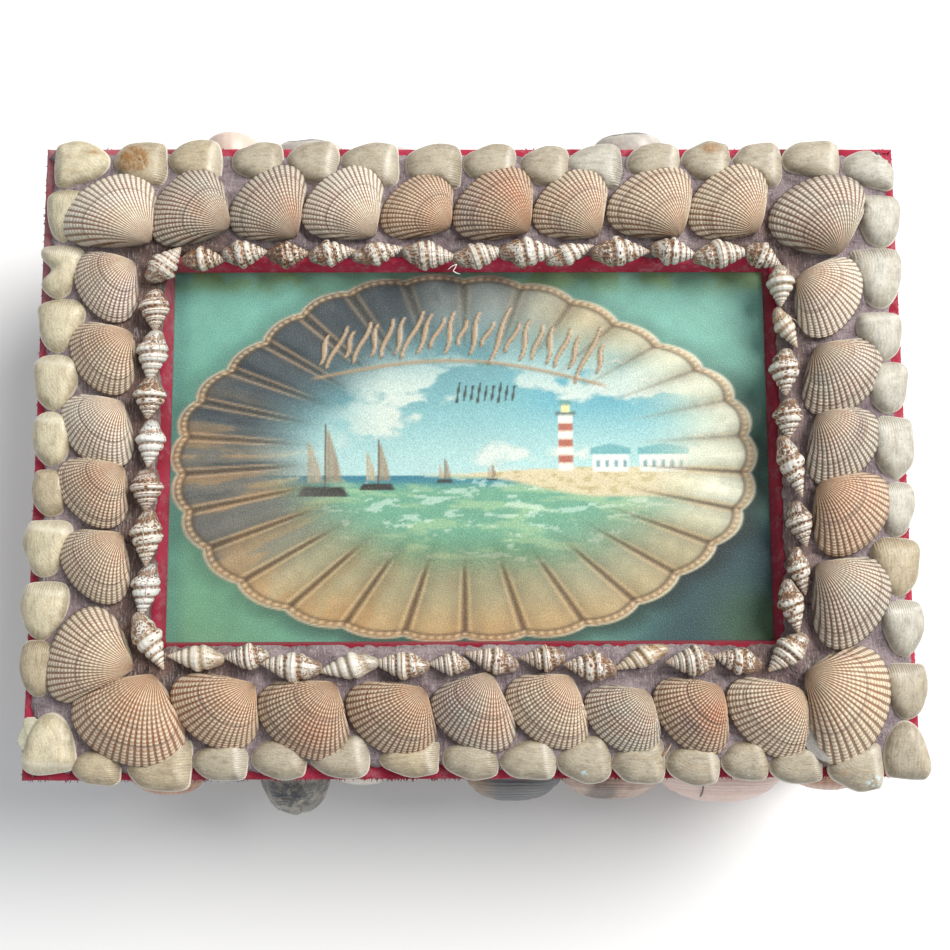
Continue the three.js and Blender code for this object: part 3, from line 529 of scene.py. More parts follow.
def snail_material():
    """Cream snail: white whorls, a beaded brown line along each seam, blotches, and a net of fine brown dashes towards the base."""
    m = Mat("snail_spotted")
    w, ax, a = m.xyz(m.attr("sn"))
    ground, spot = m.attr("c_hi", "Color"), m.attr("c_lo", "Color")
    seed, much = m.attr("seed", "Fac"), m.attr("much", "Fac")
    fine, soft = m.noise(3000, 2), m.noise(600, 3)
    fold = m.wave(ax)
    wob = m.noise(1.0, 2, m.vec(m.mul(w, 3.0), m.mul(ax, 0.8), seed))
    kind = m.noise(1.0, 1, m.vec(m.mul(seed, 1.31), 0.3, 0.7))
    turned = m.math("MULTIPLY_ADD", wob, 0.5, m.mul(w, 3.4))
    d = m.cells(1.0, m.vec(m.mul(ax, 0.8), turned, seed), randomness=0.9)
    d2 = m.cells(1.0, m.vec(m.mul(ax, 2.3), m.mul(turned, 2.6), m.add(seed, 4.0)), randomness=0.95)
    size = m.noise(1.0, 2, m.vec(m.mul(ax, 0.4), m.mul(w, 1.7), m.add(seed, 9.0)))
    low = m.fit(a, 0.52, 0.70)
    reach = m.add(m.mul(m.sub(size, 0.5), 1.1), m.mul(much, m.fit(kind, 0.40, 0.60, 0.45, 0.85)))
    spots = m.fit(m.sub(reach, d), -0.04, 0.10)
    net = m.mul(m.fit(m.sub(m.add(m.mul(reach, 0.6), m.mul(low, 0.32)), d2), -0.04, 0.08), m.fit(low, 0.0, 1.0, 0.55, 0.92))
    seam = m.fit(m.wave(m.math("MULTIPLY_ADD", m.sub(wob, 0.5), 0.10, m.add(w, 0.04))), 0.70, 0.93)
    beaded = m.mul(m.mul(seam, m.fit(m.wave(m.mul(ax, 1.0)), 0.15, 0.75, 0.30, 1.0)), m.fit(much, 0.15, 0.45, 0.25, 0.95))
    second = m.fit(m.wave(m.add(w, 0.5)), 0.93, 0.995)
    second = m.mul(m.mul(second, m.fit(kind, 0.50, 0.42)), m.fit(much, 0.2, 0.5, 0.0, 0.75))
    marks = m.math("MAXIMUM", m.math("MAXIMUM", m.mul(spots, m.fit(fold, 0.25, 0.95, 1.0, 0.55)), net), m.math("MAXIMUM", beaded, second))
    pale = m.mix(m.fit(soft, 0.3, 0.7, 0.0, 0.45), ground, m.mix(0.42, ground, m.mix(0.5, spot, col("B98E5E"))))
    belly = m.fit(m.wave(m.add(w, 0.5)), 0.25, 0.85)
    pale = m.mix(m.mul(m.mul(belly, m.fit(a, 0.80, 0.60)), 0.45), pale, col("FBF8EE"))
    pale = m.mix(m.fit(a, 0.16, 0.02, 0.0, 0.45), pale, col("C99E72"))
    tone = m.mix(m.fit(m.noise(1100, 2), 0.35, 0.65), spot, m.mix(0.45, spot, col("A5682F")))
    edge = m.mul(m.fit(marks, 0.05, 0.4), m.fit(marks, 0.95, 0.5))
    c = m.mix(marks, pale, tone)
    c = m.mix(m.mul(edge, 0.45), c, col("B07C46"))
    c = m.mix(m.mul(m.fit(a, 0.74, 0.98), 0.38), c, m.mix(0.5, spot, col("8F877C")))
    c = m.scale(c, m.fit(fine, 0.2, 0.8, 0.94, 1.04))
    cord = m.wave(m.mul(w, 7.0))
    height = m.math("MULTIPLY_ADD", cord, 0.16, m.mul(fold, 0.16))
    return m.finish(c, m.fit(soft, 0.3, 0.7, 0.24, 0.38), m.bump(height, 0.00010, 0.8), Specular_IOR_Level=0.5, Coat_Weight=0.25, Coat_Roughness=0.14)


def putty_material():
    m = Mat("fibrous_putty")
    x, y, z = m.xyz(m.place())
    coarse = m.noise(150, 5, rough=0.65)
    fib = m.noise(1.0, 4, m.place((2600, 420, 900), 0.7), rough=0.7)
    fib2 = m.noise(1.0, 4, m.place((420, 2400, 900), 0.3), rough=0.7)
    grain = m.noise(1800, 4, rough=0.75)
    warm = m.attr("warm", "Fac")
    c = m.mix(m.fit(warm, 0.15, 0.85), col("AC9CA0"), col("8C7065"))
    c = m.mix(m.fit(coarse, 0.38, 0.62), c, m.mix(warm, col("8E7E84"), col("6A554E")))
    fuzz = m.mul(m.fit(m.noise(240, 4, rough=0.7), 0.50, 0.66), m.fit(warm, 0.2, 0.6))
    c = m.mix(m.mul(fuzz, 0.65), c, m.mix(m.fit(fib, 0.4, 0.6), col("4A4240"), col("8B8580")))
    c = m.mix(m.mul(m.fit(fib, 0.50, 0.66), 0.55), c, col("D4C8C4"))
    c = m.mix(m.mul(m.fit(fib2, 0.50, 0.66), 0.45), c, col("6F5A5E"))
    c = m.mix(m.mul(m.fit(grain, 0.58, 0.70), 0.38), c, col("8A4048"))
    c = m.mix(m.mul(m.fit(m.noise(620, 3, rough=0.7), 0.56, 0.70), 0.6), c, col("5B494C"))
    c = m.scale(c, m.fit(grain, 0.25, 0.75, 0.80, 1.14))
    height = m.add(m.add(fib, fib2), m.mul(grain, 1.3))
    return m.finish(c, 0.95, m.bump(height, 0.0005, 0.9), Specular_IOR_Level=0.15, Sheen_Weight=0.10, Sheen_Roughness=0.6)


def red_material(name, worn=0.5):
    """Flocked red paper, faded and rubbed, with painted light on the far lip of the window and painted shade along its
    left, right and near lips.
    """
    m = Mat(name)
    patch = m.noise(70, 5, rough=0.6)
    nap = m.noise(3200, 3, rough=0.7)
    rub = m.noise(360, 4, rough=0.7)
    c = m.mix(m.fit(patch, 0.35, 0.65), col("9C2438"), col("BC3650"))
    c = m.mix(m.mul(m.fit(rub, 0.48, 0.68), worn), c, col("B87F88"))
    x, y, z = m.xyz(m.place())
    faded = m.mul(m.fit(x, -0.055, -0.072), m.fit(y, 0.015, 0.046))
    c = m.mix(m.mul(faded, m.fit(rub, 0.35, 0.6, 0.35, 0.85)), c, col("A98083"))
    c = m.mix(m.mul(m.fit(nap, 0.42, 0.68), 0.45), c, col("7A1A30"))
    # Painted light: the far lip of the window, which faces away from the lamp, is made brighter.
    far_lip_painted_light = m.mul(m.fit(y, 0.0402, 0.0412), m.fit(y, 0.0478, 0.0462))
    far_lip_painted_light = m.mul(far_lip_painted_light, m.fit(m.math("ABSOLUTE", x), 0.0690, 0.0675))
    # Painted shade: a strip along the window's left lip, which faces the lamp, is made darker.
    left_lip_painted_shade = m.mul(m.fit(x, -0.0655, -0.0660), m.fit(x, -0.0715, -0.0700))
    c = m.scale(c, m.math("MULTIPLY_ADD", far_lip_painted_light, 0.62, 1.0))
    c = m.scale(c, m.math("MULTIPLY_ADD", left_lip_painted_shade, -0.26, 1.0))
    # Painted shade: a strip along the window's right lip is made darker.
    right = m.mul(m.fit(x, 0.0640, 0.0648), m.fit(x, 0.0725, 0.0715))
    # Painted shade: the near lip of the window, which faces the lamp, is turned a deeper, darker red.
    low = m.mul(m.mul(m.fit(y, -0.0398, -0.0406), m.fit(y, -0.0475, -0.0455)), m.fit(m.math("ABSOLUTE", x), 0.0690, 0.0675))
    c = m.scale(c, m.math("MULTIPLY_ADD", right, -0.34, 1.0))
    c = m.mix(m.mul(low, 0.75), c, col("8A1A2C"))
    c = m.scale(c, m.math("MULTIPLY_ADD", low, -0.14, 1.0))
    c = m.scale(c, m.fit(nap, 0.25, 0.75, 0.86, 1.12))
    return m.finish(c, 0.88, m.bump(m.add(nap, m.mul(rub, 0.6)), 0.00022, 0.9), Specular_IOR_Level=0.2, Sheen_Weight=0.08, Sheen_Roughness=0.5)


def tray_material():
    """Red paper outside, plain aged cream paper inside, by place."""
    m = Mat("tray_papers")
    x, y, z = m.xyz(m.place())
    inside = m.mul(m.mul(m.fit(m.math("ABSOLUTE", x), 0.0915, 0.0908), m.fit(m.math("ABSOLUTE", y), 0.0655, 0.0648)), m.fit(z, 0.0024, 0.0028))
    nap, patch = m.noise(3200, 3, rough=0.7), m.noise(60, 5, rough=0.6)
    red = m.mix(m.fit(patch, 0.35, 0.65), col("8E1F3A"), col("A52E4A"))
    cream = m.mix(m.fit(patch, 0.35, 0.65), col("D9CBAE"), col("C7B48F"))
    c = m.scale(m.mix(inside, red, cream), m.fit(nap, 0.25, 0.75, 0.9, 1.08))
    return m.finish(c, 0.86, m.bump(nap, 0.0001, 0.7), Specular_IOR_Level=0.2)


def card_material():
    """Printed card with a fine linen stipple over the print."""
    m = Mat("printed_card")
    c = m.attr("c_print", "Color")
    gilt = m.attr("gilt", "Fac")
    weave = m.add(m.noise(1.0, 1, m.place((3400, 1500, 1))), m.noise(1.0, 1, m.place((1500, 3400, 1))))
    stip = m.noise(3600, 2, rough=0.6)
    patch = m.noise(45, 3)
    c = m.mix(m.mul(m.fit(stip, 0.54, 0.68), 0.55), c, m.mix(0.16, m.scale(c, 1.25), col("C9C98E")))
    c = m.mix(m.mul(m.fit(stip, 0.45, 0.33), 0.30), c, m.scale(c, 0.62))
    c = m.scale(c, m.math("MULTIPLY", m.fit(stip, 0.25, 0.75, 0.88, 1.08), m.fit(patch, 0.3, 0.7, 0.96, 1.04)))
    height = m.math("MULTIPLY_ADD", weave, 0.5, stip)
    return m.finish(c, m.fit(gilt, 0.0, 1.0, 0.52, 0.36), m.bump(height, 0.00008, 0.8), Specular_IOR_Level=0.4, Coat_Weight=0.05, Coat_Roughness=0.3)


def valve_material():
    """Smooth half shells of the walls: growth bands, faint rays, mottling."""
    m = Mat("wall_shell_mixed")
    p, f, sd = m.xyz(m.attr("vp"))
    bands, rays, mott = m.xyz(m.attr("vk"))
    a, b = m.attr("c_hi", "Color"), m.attr("c_lo", "Color")
    fine, soft = m.noise(1500, 3), m.noise(170, 5, rough=0.65)
    drift = m.noise(1.0, 2, m.vec(m.mul(p, 6.0), m.mul(f, 3.0), sd))
    grow = m.noise(1.0, 3, m.vec(m.math("MULTIPLY_ADD", drift, 0.9, m.mul(f, 8.0)), sd, 0.0), rough=0.6)
    line = m.wave(m.math("MULTIPLY_ADD", drift, 2.0, m.mul(f, 26.0)))
    ray = m.wave(m.mul(p, 30.0))
    k = m.mul(m.fit(grow, 0.35, 0.62), bands)
    k = m.add(k, m.mul(m.mul(m.sub(1.0, ray), rays), 0.6))
    mottle = m.mix(m.fit(mott, 0.60, 0.70), soft, m.noise(430, 5, rough=0.72))
    k = m.add(k, m.mul(m.fit(mottle, 0.46, 0.60), mott))
    c = m.mix(m.math("MINIMUM", k, 1.0), a, b)
    c = m.mix(m.mul(line, 0.10), c, m.scale(b, 0.7))
    c = m.scale(c, m.fit(fine, 0.2, 0.8, 0.92, 1.06))
    c = m.mix(m.mul(m.fit(f, 0.955, 0.985), 0.5), c, col("E9E2D6"))
    height = m.math("MULTIPLY_ADD", m.mul(ray, rays), 1.4, m.mul(line, 0.35))
    height = m.math("MULTIPLY_ADD", fine, 0.25, height)
    return m.finish(c, m.fit(soft, 0.3, 0.7, 0.30, 0.46), m.bump(height, 0.0002, 0.8), Specular_IOR_Level=0.5, Coat_Weight=0.15, Coat_Roughness=0.2)


def floor_material():
    m = Mat("pale_floor")
    n = m.noise(8, 3)
    return m.finish(m.mix(n, col("F4F4F3"), col("F8F8F7")), 0.9, None, Specular_IOR_Level=0.1)


ARK_MAT = shell_material("ark_shell_ribbed")
LOWER_MAT = shell_material("cockle_shell_ribbed", 0.8)
WEDGE_MAT, SNAIL_MAT, PUTTY_MAT = wedge_material(), snail_material(), putty_material()
RED_MAT, TRAY_MAT, CARD_MAT, VALVE_MAT = red_material("red_flock_paper"), tray_material(), card_material(), valve_material()


# ------------------------------------------------------------------ ark shells
def petal(row, t):
    """Outline radius and angle of an ark shell, from its beak."""
    length, spread, k = row[3], math.radians(row[4]), row[5]
    return length * (1 + k * t) * np.clip(1 - np.abs(t) ** 5, 0, 1) ** (1 / 2.4), t * spread


def ark_points(row, seed, ribs=28, per=4, tilt=7.0, rows=37, coil=1.75, high=2.05, relief=0.17):
    """Local points, x along the fan, z up, of a ribbed shell grown along a spiral, and its coordinates."""
    length = row[3]
    t = np.concatenate([[-0.9999, -0.9985, -0.9935], np.linspace(-0.982, 0.982, ribs * per + 1), [0.9935, 0.9985, 0.9999]])
    r, th = petal(row, t)
    x0 = 0.04 * length
    mx, my = r * np.cos(th) - x0, r * np.sin(th)
    mx = 0.5 * (mx + np.sqrt(mx * mx + (0.04 * length) ** 2))
    f = np.concatenate([np.linspace(1.0, 0.11, rows - 4), [0.085, 0.065, 0.048, 0.034]])[:, None]
    beta = -np.log(f[:, 0]) / coil
    cb, sb = np.cos(beta)[:, None], np.sin(beta)[:, None]
    p = np.stack([x0 + f * mx * cb, f * my + 0 * cb, high * f * mx * sb], -1)
    rib = (t + 0.982) / 1.964 * ribs
    grow = 23 * (1 - f[:, 0]) ** 0.85
    du, dv = np.gradient(p, axis=1), np.gradient(p, axis=0)
    n = np.cross(du, dv)
    n /= np.linalg.norm(n, axis=-1, keepdims=True) + 1e-9
    if n[rows // 3, len(t) // 2, 2] < 0:
        n = -n
    wide = np.linalg.norm(du, axis=-1) * per
    crest = (0.5 + 0.5 * np.cos(2 * np.pi * rib))[None, :] ** 0.85
    fade = step(0.0, 0.10, 1 - np.abs(t))[None, :]
    lift = wide * relief * (crest - 0.6) * fade * (1 - 0.60 * step(0.84, 1.0, f))
    rng = np.random.default_rng(seed)
    for where in rng.uniform(0.05, 0.75, 4):
        depth = rng.uniform(0.07, 0.16)
        lift = lift - depth * np.exp(-((1 - f - where * 0.7) / 0.022) ** 2) * (0.6 + 0.4 * noise(rib[None, :] * 0.3, seed * 3.1, seed))
    lift = lift + 0.10 * noise(rib[None, :] * 0.22, grow[:, None] * 0.16 + seed, seed)
    p = p + n * lift[..., None]
    p[..., 2] = np.maximum(p[..., 2], -0.2)
    ribg = np.stack(np.broadcast_arrays(rib[None, :] + 40 * seed, grow[:, None], f), -1)
    a = math.radians(tilt)
    q = p.copy()
    q[..., 0] = p[..., 0] * math.cos(a) - p[..., 2] * math.sin(a)
    q[..., 2] = p[..., 2] * math.cos(a) + p[..., 0] * math.sin(a)
    return q, ribg, np.broadcast_to(t[None, :], f.shape[:1] + t.shape), np.broadcast_to(f, f.shape[:1] + t.shape), length


def ark_close(p, extra, floor):
    """Closes the grid with a skirt down to the floor and a flat underside. Returns points, faces and the attributes."""
    nr, nc = p.shape[:2]
    idx = np.arange(nr * nc).reshape(nr, nc)
    loop = np.concatenate([idx[0, :], idx[1:, -1], idx[-1, -2::-1], idx[-2:0:-1, 0]])
    flat = p.reshape(-1, 3)
    edge = flat[loop]
    mid = edge.mean(0)
    lip = edge.copy()
    lip[:, :2] = mid[:2] + (edge[:, :2] - mid[:2]) * 0.965
    lip[:, 2] = edge[:, 2] - 0.55
    foot = edge.copy()
    foot[:, :2] = mid[:2] + (edge[:, :2] - mid[:2]) * 0.88
    foot[:, 2] = floor
    lip[:, 2] = np.maximum(lip[:, 2], floor + 0.02)
    centre = np.array([[mid[0], mid[1], floor]])
    k, n0 = len(loop), nr * nc
    v = np.concatenate([flat, lip, foot, centre])
    q = [quads_of(nr, nc)]
    a, b = np.arange(k), (np.arange(k) + 1) % k
    q.append(np.stack([loop[b], loop[a], n0 + a, n0 + b], 1))
    q.append(np.stack([n0 + b, n0 + a, n0 + k + a, n0 + k + b], 1))
    tri = np.stack([n0 + k + b, n0 + k + a, np.full(k, n0 + 2 * k)], 1)
    out = {}
    for name, e in extra.items():
        e = e.reshape(nr * nc, *e.shape[2:])
        out[name] = np.concatenate([e, e[loop], e[loop], e[loop[:1]]])
    return v, np.concatenate(q), tri, out


def fade_to(base, target, weight):
    return base * (1 - weight[..., None]) + np.asarray(target) * weight[..., None]


def ark_colours(tints, stains_and_shade, t, f, length, even=0.55, lift=0.10):
    """Rib and groove colours over the shell, from its four zones, with the zones' brightness evened out."""
    rib, groove = [rgb(h) for h in ARK_KINDS[tints].split()]
    swing = 0.10 * math.sin(length * 37)
    warm, cool = np.array([1.05, 1.0, 0.93]), np.array([0.97, 1.0, 1.03])
    cs = [rib * warm, groove * warm, rib * (1 + swing), groove * (1 + swing), rib * (1 - swing) * cool, groove * (1 - swing), rib * 0.94 * cool, groove * 0.96]
    out = []
    for k in (0, 1):
        zone = [cs[k], cs[2 + k], cs[4 + k], cs[6 + k]]
        lum = [float(z @ [0.2126, 0.7152, 0.0722]) for z in zone]
        mean = float(np.mean(lum))
        zone = [z * (mean / y) ** even for z, y in zip(zone, lum)]
        side = step(-0.35, 0.35, t)
        c = fade_to(np.broadcast_to(zone[2], t.shape + (3,)), zone[1], side)
        c = c * (1 - step(0.72, 0.95, f)[..., None]) + zone[3] * step(0.72, 0.95, f)[..., None]
        c = fade_to(c, zone[0], step(0.62, 0.30, f))
        out.append(c)
    hi, lo = out
    along = 1 - f
    # Stains and flushes; the grey marks near the left and lower-left margins are dirt and painted shade together.
    for _, hexa, a0, t0, ra, rt, s in stains_and_shade:
        w = s * np.exp(-(((along - a0) / ra) ** 2) - ((t - t0) / rt) ** 2)
        hi = fade_to(hi, rgb(hexa), w * 0.9)
        lo = fade_to(lo, rgb(hexa) * 0.45, w * 0.7)
    return hi * 0.90, (lo + lift * (hi - lo)) * 0.86


def set_down(p, x, y, angle, z):
    a = math.radians(angle)
    out = p.copy()
    out[..., 0] = x + p[..., 0] * math.cos(a) - p[..., 1] * math.sin(a)
    out[..., 1] = y + p[..., 0] * math.sin(a) + p[..., 1] * math.cos(a)
    out[..., 2] = z + p[..., 2]
    return out


for si, side in enumerate(SIDES):
    for i, row in enumerate(ARKS[side]):
        seed = si * 20 + i
        wob = np.random.default_rng(900 + seed)
        p, ribg, t, f, length = ark_points(row, seed, ribs=int(wob.integers(23, 27)), tilt=6.5 + wob.uniform(-1, 1.5))
        hi, lo = ark_colours(ARK_TINTS[side][i], [s for s in ARK_STAINS_AND_SHADE[side] if s[0] == i], t, f, length)
        v, q, tri, at = ark_close(p, {"ribg": ribg, "c_hi": hi, "c_lo": lo}, -1.2)
        b = Build()
        b.add(set_down(v, row[0], row[1], row[2], SHELL_Z + 0.15), q, tri, seed=float(seed), **at)
        name = f"ark_shell_{side}_{i + 1:02d}"
        b.make(name + "_ribbed", ARK_MAT, [name])


# ------------------------------------------------------------------ wedge shells
def smooth_loop(points, count, weight=None):
    """A closed curve through points (Catmull-Rom), sampled evenly, or denser where weight(p) is larger."""
    p = np.asarray(points, float)
    n, out = len(p), []
    for i in range(n):
        a, b, c, d = p[(i - 1) % n], p[i], p[(i + 1) % n], p[(i + 2) % n]
        s = np.linspace(0, 1, 60, endpoint=False)[:, None]
        out.append(0.5 * (2 * b + (c - a) * s + (2 * a - 5 * b + 4 * c - d) * s ** 2 + (3 * b - a - 3 * c + d) * s ** 3))
    p = np.concatenate(out)
    seg = np.linalg.norm(np.roll(p, -1, 0) - p, axis=1)
    if weight is not None:
        seg = seg * weight(p)
    d = np.concatenate([[0], np.cumsum(seg)])
    q = np.vstack([p, p[:1]])
    at = np.linspace(0, d[-1], count, endpoint=False)
    return np.stack([np.interp(at, d, q[:, 0]), np.interp(at, d, q[:, 1])], 1)


WEDGE_HALF = [(-1, 0.1), (-0.84, 0.52), (-0.45, 0.84), (0.1, 1.0), (0.62, 0.98), (0.90, 0.80), (0.99, 0.35), (1.0, -0.35), (0.90, -0.80), (0.60, -0.96), (0.1, -0.88), (-0.45, -0.64), (-0.85, -0.34)]
ARK_ALL = [r for s in SIDES for r in ARKS[s]]


def ark_reach(x, y):
    """Smallest ratio of a point's distance from a beak to the ark outline there: under 1 is inside an ark."""
    best = np.full(np.shape(x), 9.0)
    for row in ARK_ALL:
        dx, dy = x - row[0], y - row[1]
        a = math.radians(row[2])
        u, v = dx * math.cos(a) + dy * math.sin(a), -dx * math.sin(a) + dy * math.cos(a)
        t = np.arctan2(v, u) / math.radians(row[4])
        r = np.where(np.abs(t) < 1, petal(row, np.clip(t, -1, 1))[0], 0.001)
        near = 0.10 * row[3]
        best = np.minimum(best, np.hypot(u, v) / np.maximum(r, near))
    return best


def wedge_build(b, side, i, row, hi, lo):
    cx, cy, ang, length, width, turn = row
    seed = 100 + SIDES.index(side) * 20 + i
    rng = np.random.default_rng(seed)
    half = [(u + rng.uniform(-0.03, 0.03), v + rng.uniform(-0.05, 0.05)) for u, v in WEDGE_HALF]
    ring = smooth_loop([(u * length / 2, v * turn * width / 2) for u, v in half], 84, lambda p: 1 + 1.1 * (p[:, 0] > 0.3 * length))
    fs = np.array([1, 0.985, 0.95, 0.90, 0.83, 0.74, 0.63, 0.50, 0.36, 0.2, 0.0])
    crown = np.array([0.10 * length, -0.10 * turn * width])
    f = fs[:-1, None]
    xy = crown + (ring[None] - crown) * f[..., None]
    u, v = xy[..., 0] / (length / 2), xy[..., 1] / (width / 2) * turn
    z = 2.9 * (1 - f ** 2.9) ** 0.66 * np.ones(len(ring))
    keel = step(0.62, 0.98, u)
    z = z * (1 - 0.26 * keel)
    fan = np.arctan2(v + 0.85, u - 0.35)
    end = step(0.35, 0.85, u) * step(0.0, 0.3, f)
    z = z + 0.07 * fbm(u * 1.6 + seed, v * 1.6, seed) - 0.05 * np.exp(-(((np.hypot(u - .35, v + .85) - rng.uniform(0.8, 1.3)) / 0.05) ** 2))
    stain, blue = np.zeros_like(z), np.zeros_like(z)
    a = math.radians(ang)
    wx, wy = cx + xy[..., 0] * math.cos(a) - xy[..., 1] * math.sin(a), cy + xy[..., 0] * math.sin(a) + xy[..., 1] * math.cos(a)
    if (side, i) == ("back", 0):
        stain = 0.9 * np.exp(-(((wx + 84) / 1.3) ** 2 + ((wy - 67.5) / 0.7) ** 2))
    if (side, i) == ("back", 1):
        d = np.hypot((wx + 75.0) / 3.9, (wy - 65.8) / 3.6) + 0.18 * fbm(wx * 0.5, wy * 0.5, 5)
        stain = step(1.0, 0.72, d)
        z = z + 0.25 * stain * fbm(wx * 1.6, wy * 1.6, 6)
    if (side, i) == ("back", 11):
        stain = 0.75 * step(1.0, 0.4, np.hypot((wx - 54) / 3.4, (wy - 68.4) / 1.8))
    if (side, i) == ("front", 14):
        blue = 1.0 * step(1.0, 0.3, np.hypot((wx - 84.5) / 2.4, (wy + 70.3) / 1.6))
        stain = 0.9 * np.exp(-(((wx - 78.2) / 0.9) ** 2 + ((wy + 68.5) / 0.5) ** 2))
    if (side, i) in (("front", 9), ("front", 12)):
        blue = 0.8 * step(1.0, 0.3, np.hypot((wx - cx) / 1.3, (wy - cy + 2.9) / 0.8))
    if (side, i) == ("back", 14):                    # its outer corner is broken away
        push = np.clip((wx - cx) * 0.62 + (wy - cy) * 0.78 - 3.6 - 0.35 * noise(wx * 1.3 - wy * 1.3, 0.5, 3), 0, None)
        wx, wy = wx - push * 0.62, wy - push * 0.78
        z = z - 0.25 * step(0.0, 0.3, push)
    if (side, i) == ("left", 1):                     # a bite out of its outer edge
        push = 2.9 * np.exp(-((wy - 41.0) / 2.1) ** 2) * step(-88.5, -95.0, wx)
        wx = wx + push
    z_top = SHELL_Z - 0.15 + np.clip(z, -0.2, None)
    reach = ark_reach(wx, wy)
    z_top = z_top - (z_top - SHELL_Z + 0.4) * step(0.96, 0.80, reach) * 0.85
    pts = np.stack([wx, wy, z_top], -1)
    nr, nc = z.shape
    crown_w = np.array([cx + crown[0] * math.cos(a) - crown[1] * math.sin(a), cy + crown[0] * math.sin(a) + crown[1] * math.cos(a)])
    top_z = float(SHELL_Z + 2.8)
    if ark_reach(crown_w[:1], crown_w[1:])[0] < 0.9:
        top_z = float(z_top[-1].mean())
    foot = pts[0].copy()
    foot[:, :2] = crown_w + (foot[:, :2] - crown_w) * 0.93
    foot[:, 2] = SHELL_Z - 1.3
    allv = np.concatenate([pts.reshape(-1, 3), foot, [[*crown_w, top_z]], [[*crown_w, SHELL_Z - 1.3]]])
    q = quads_of(nr, nc, wrap_c=True)
    k = nr * nc
    j = np.arange(nc)
    skirt = np.stack([(j + 1) % nc, j, k + j, k + (j + 1) % nc], 1)
    last = (nr - 1) * nc
    cap = np.stack([last + j, last + (j + 1) % nc, np.full(nc, k + nc)], 1)
    under = np.stack([k + (j + 1) % nc, k + j, np.full(nc, k + nc + 1)], 1)
    ff = f * np.ones(nc)
    wuv = np.stack([u, v, ff], -1).reshape(-1, 3)
    wuv = np.concatenate([wuv, wuv[:nc], [[crown[0] / (length / 2), crown[1] / (width / 2) * turn, 0]], [[0, 0, 0]]])
    pad = lambda s: np.concatenate([s.reshape(-1), s[0], [float(s[-1].mean())], [0.0]])
    b.add(allv, np.concatenate([q, skirt]), np.concatenate([cap, under]), wuv=wuv, c_hi=hi, c_lo=lo, seed=float(seed), stain=pad(stain), blue=pad(blue))


for side in SIDES:
    b = Build()
    for i, (row, tint) in enumerate(zip(WEDGES[side], [WEDGE_KINDS[k] for k in WEDGE_TINTS[side].split()])):
        hi, lo = (rgb(h) for h in tint.split())
        wedge_build(b, side, i, row, hi * 0.98, (lo + 0.02 * (hi - lo)) * 0.86)
    b.make(f"wedge_shells_{side}_cream", WEDGE_MAT, [f"wedge_shells_{side}"])


# ------------------------------------------------------------------ snails
RIBBED = {("back", k): 0.030 for k in range(14)}


def snail_build(b, side, i, row):
    cx, cy, ang, length, width = row
    cx, cy = cx - 0.0066 * (cx + 1.7), cy - 0.0066 * (cy + 36.3)
    seed = 200 + SIDES.index(side) * 20 + i
    rng = np.random.default_rng(seed)
    ground, spot, much = SNAIL_SPECIAL.get((side, i), SNAIL_TYPICAL)
    much += rng.uniform(-0.06, 0.06)
    folds = int(rng.integers(13, 18))
    a = np.concatenate([np.linspace(0.03, 0.60, 28, endpoint=False), np.linspace(0.60, 0.94, 10, endpoint=False), [0.94, 0.965, 0.982, 0.993]])[:, None]
    turn = rng.uniform(0, 2 * math.pi)
    v = np.radians(np.concatenate([np.linspace(-105, 105, 43), np.linspace(125, 235, 6)]))[None, :] + 0 * a
    phase = v + turn
    last, ratio = 0.56, 1.49
    w = np.log(a / last) / math.log(ratio) - (phase / (2 * math.pi)) % 1.0
    s = w - np.floor(w)
    hollow = 0.09 * np.exp(-(s / 0.09) ** 2) + 0.19 * np.exp(-((1 - s) / 0.24) ** 2)
    whorl = np.where(w < 0, 1.0 - hollow, 1.0 - 0.12 * np.exp(-(w / 0.15) ** 2))
    cone = 0.04 + 0.96 * np.clip(a / 0.53, 0, 1) ** 0.96
    cone = cone - 0.05 * step(0.78, 1.0, cone) * step(0.60, 0.50, a)
    env = np.where(a < 0.53, cone, 1 - 0.58 * step(0.55, 1.0, a) ** 1.1)
    env = env * np.sqrt(np.clip(1 - ((a - 0.88) / 0.118).clip(0, 1) ** 3.0, 0, 1))
    fold = np.cos(phase * folds + 0.8 * w)
    strong = step(0.94, 0.62, a) * np.where(w < 0, np.sin(np.pi * s) ** 0.5, step(0.0, 0.2, w))
    radius = width / 2 * 1.05 * env * whorl * (1 + RIBBED.get((side, i), 0.016) * fold * strong * np.where(w < 0, 1.25 - 0.8 * s, step(1.0, 0.1, w)))
    radius = np.maximum(radius, 0.05)
    lx = (0.5 - a) * length * np.ones_like(v)
    ly = radius * np.sin(v)
    lz = radius * np.cos(v)
    bend = 0.45 * step(0.75, 1.0, a)
    ly = ly + bend * math.cos(turn)
    lift = SHELL_Z + width * 0.36
    p = set_down(np.stack([lx, ly, lz], -1), cx, cy, ang, lift)
    nr, nc = v.shape
    tip = set_down(np.array([[0.5 * length, 0, 0.0], [-0.497 * length, bend[-1, 0] * math.cos(turn), 0.0]]), cx, cy, ang, lift)
    pts = np.concatenate([p.reshape(-1, 3), tip])
    pts[:, 2] = np.maximum(pts[:, 2], SHELL_Z - 1.2)
    j = np.arange(nc)
    k = nr * nc
    caps = np.concatenate([np.stack([(j + 1) % nc, j, np.full(nc, k)], 1), np.stack([(nr - 1) * nc + j, (nr - 1) * nc + (j + 1) % nc, np.full(nc, k + 1)], 1)])
    sn = np.stack(np.broadcast_arrays(w, phase * folds / (2 * math.pi) + 0.8 * w / (2 * math.pi), a), -1).reshape(-1, 3)
    sn = np.concatenate([sn, sn[:1], sn[-1:]])
    b.add(pts, quads_of(nr, nc, wrap_c=True), caps, sn=sn, c_hi=rgb(ground) * np.array([0.74, 0.755, 0.755]), c_lo=rgb(spot) * np.array([0.52, 0.47, 0.43]), seed=float(seed), much=float(much))


for side in SIDES:
    b = Build()
    for i, row in enumerate(SNAILS[side]):
        snail_build(b, side, i, row)
    b.make(f"snails_{side}_spotted", SNAIL_MAT, [f"snails_{side}"])


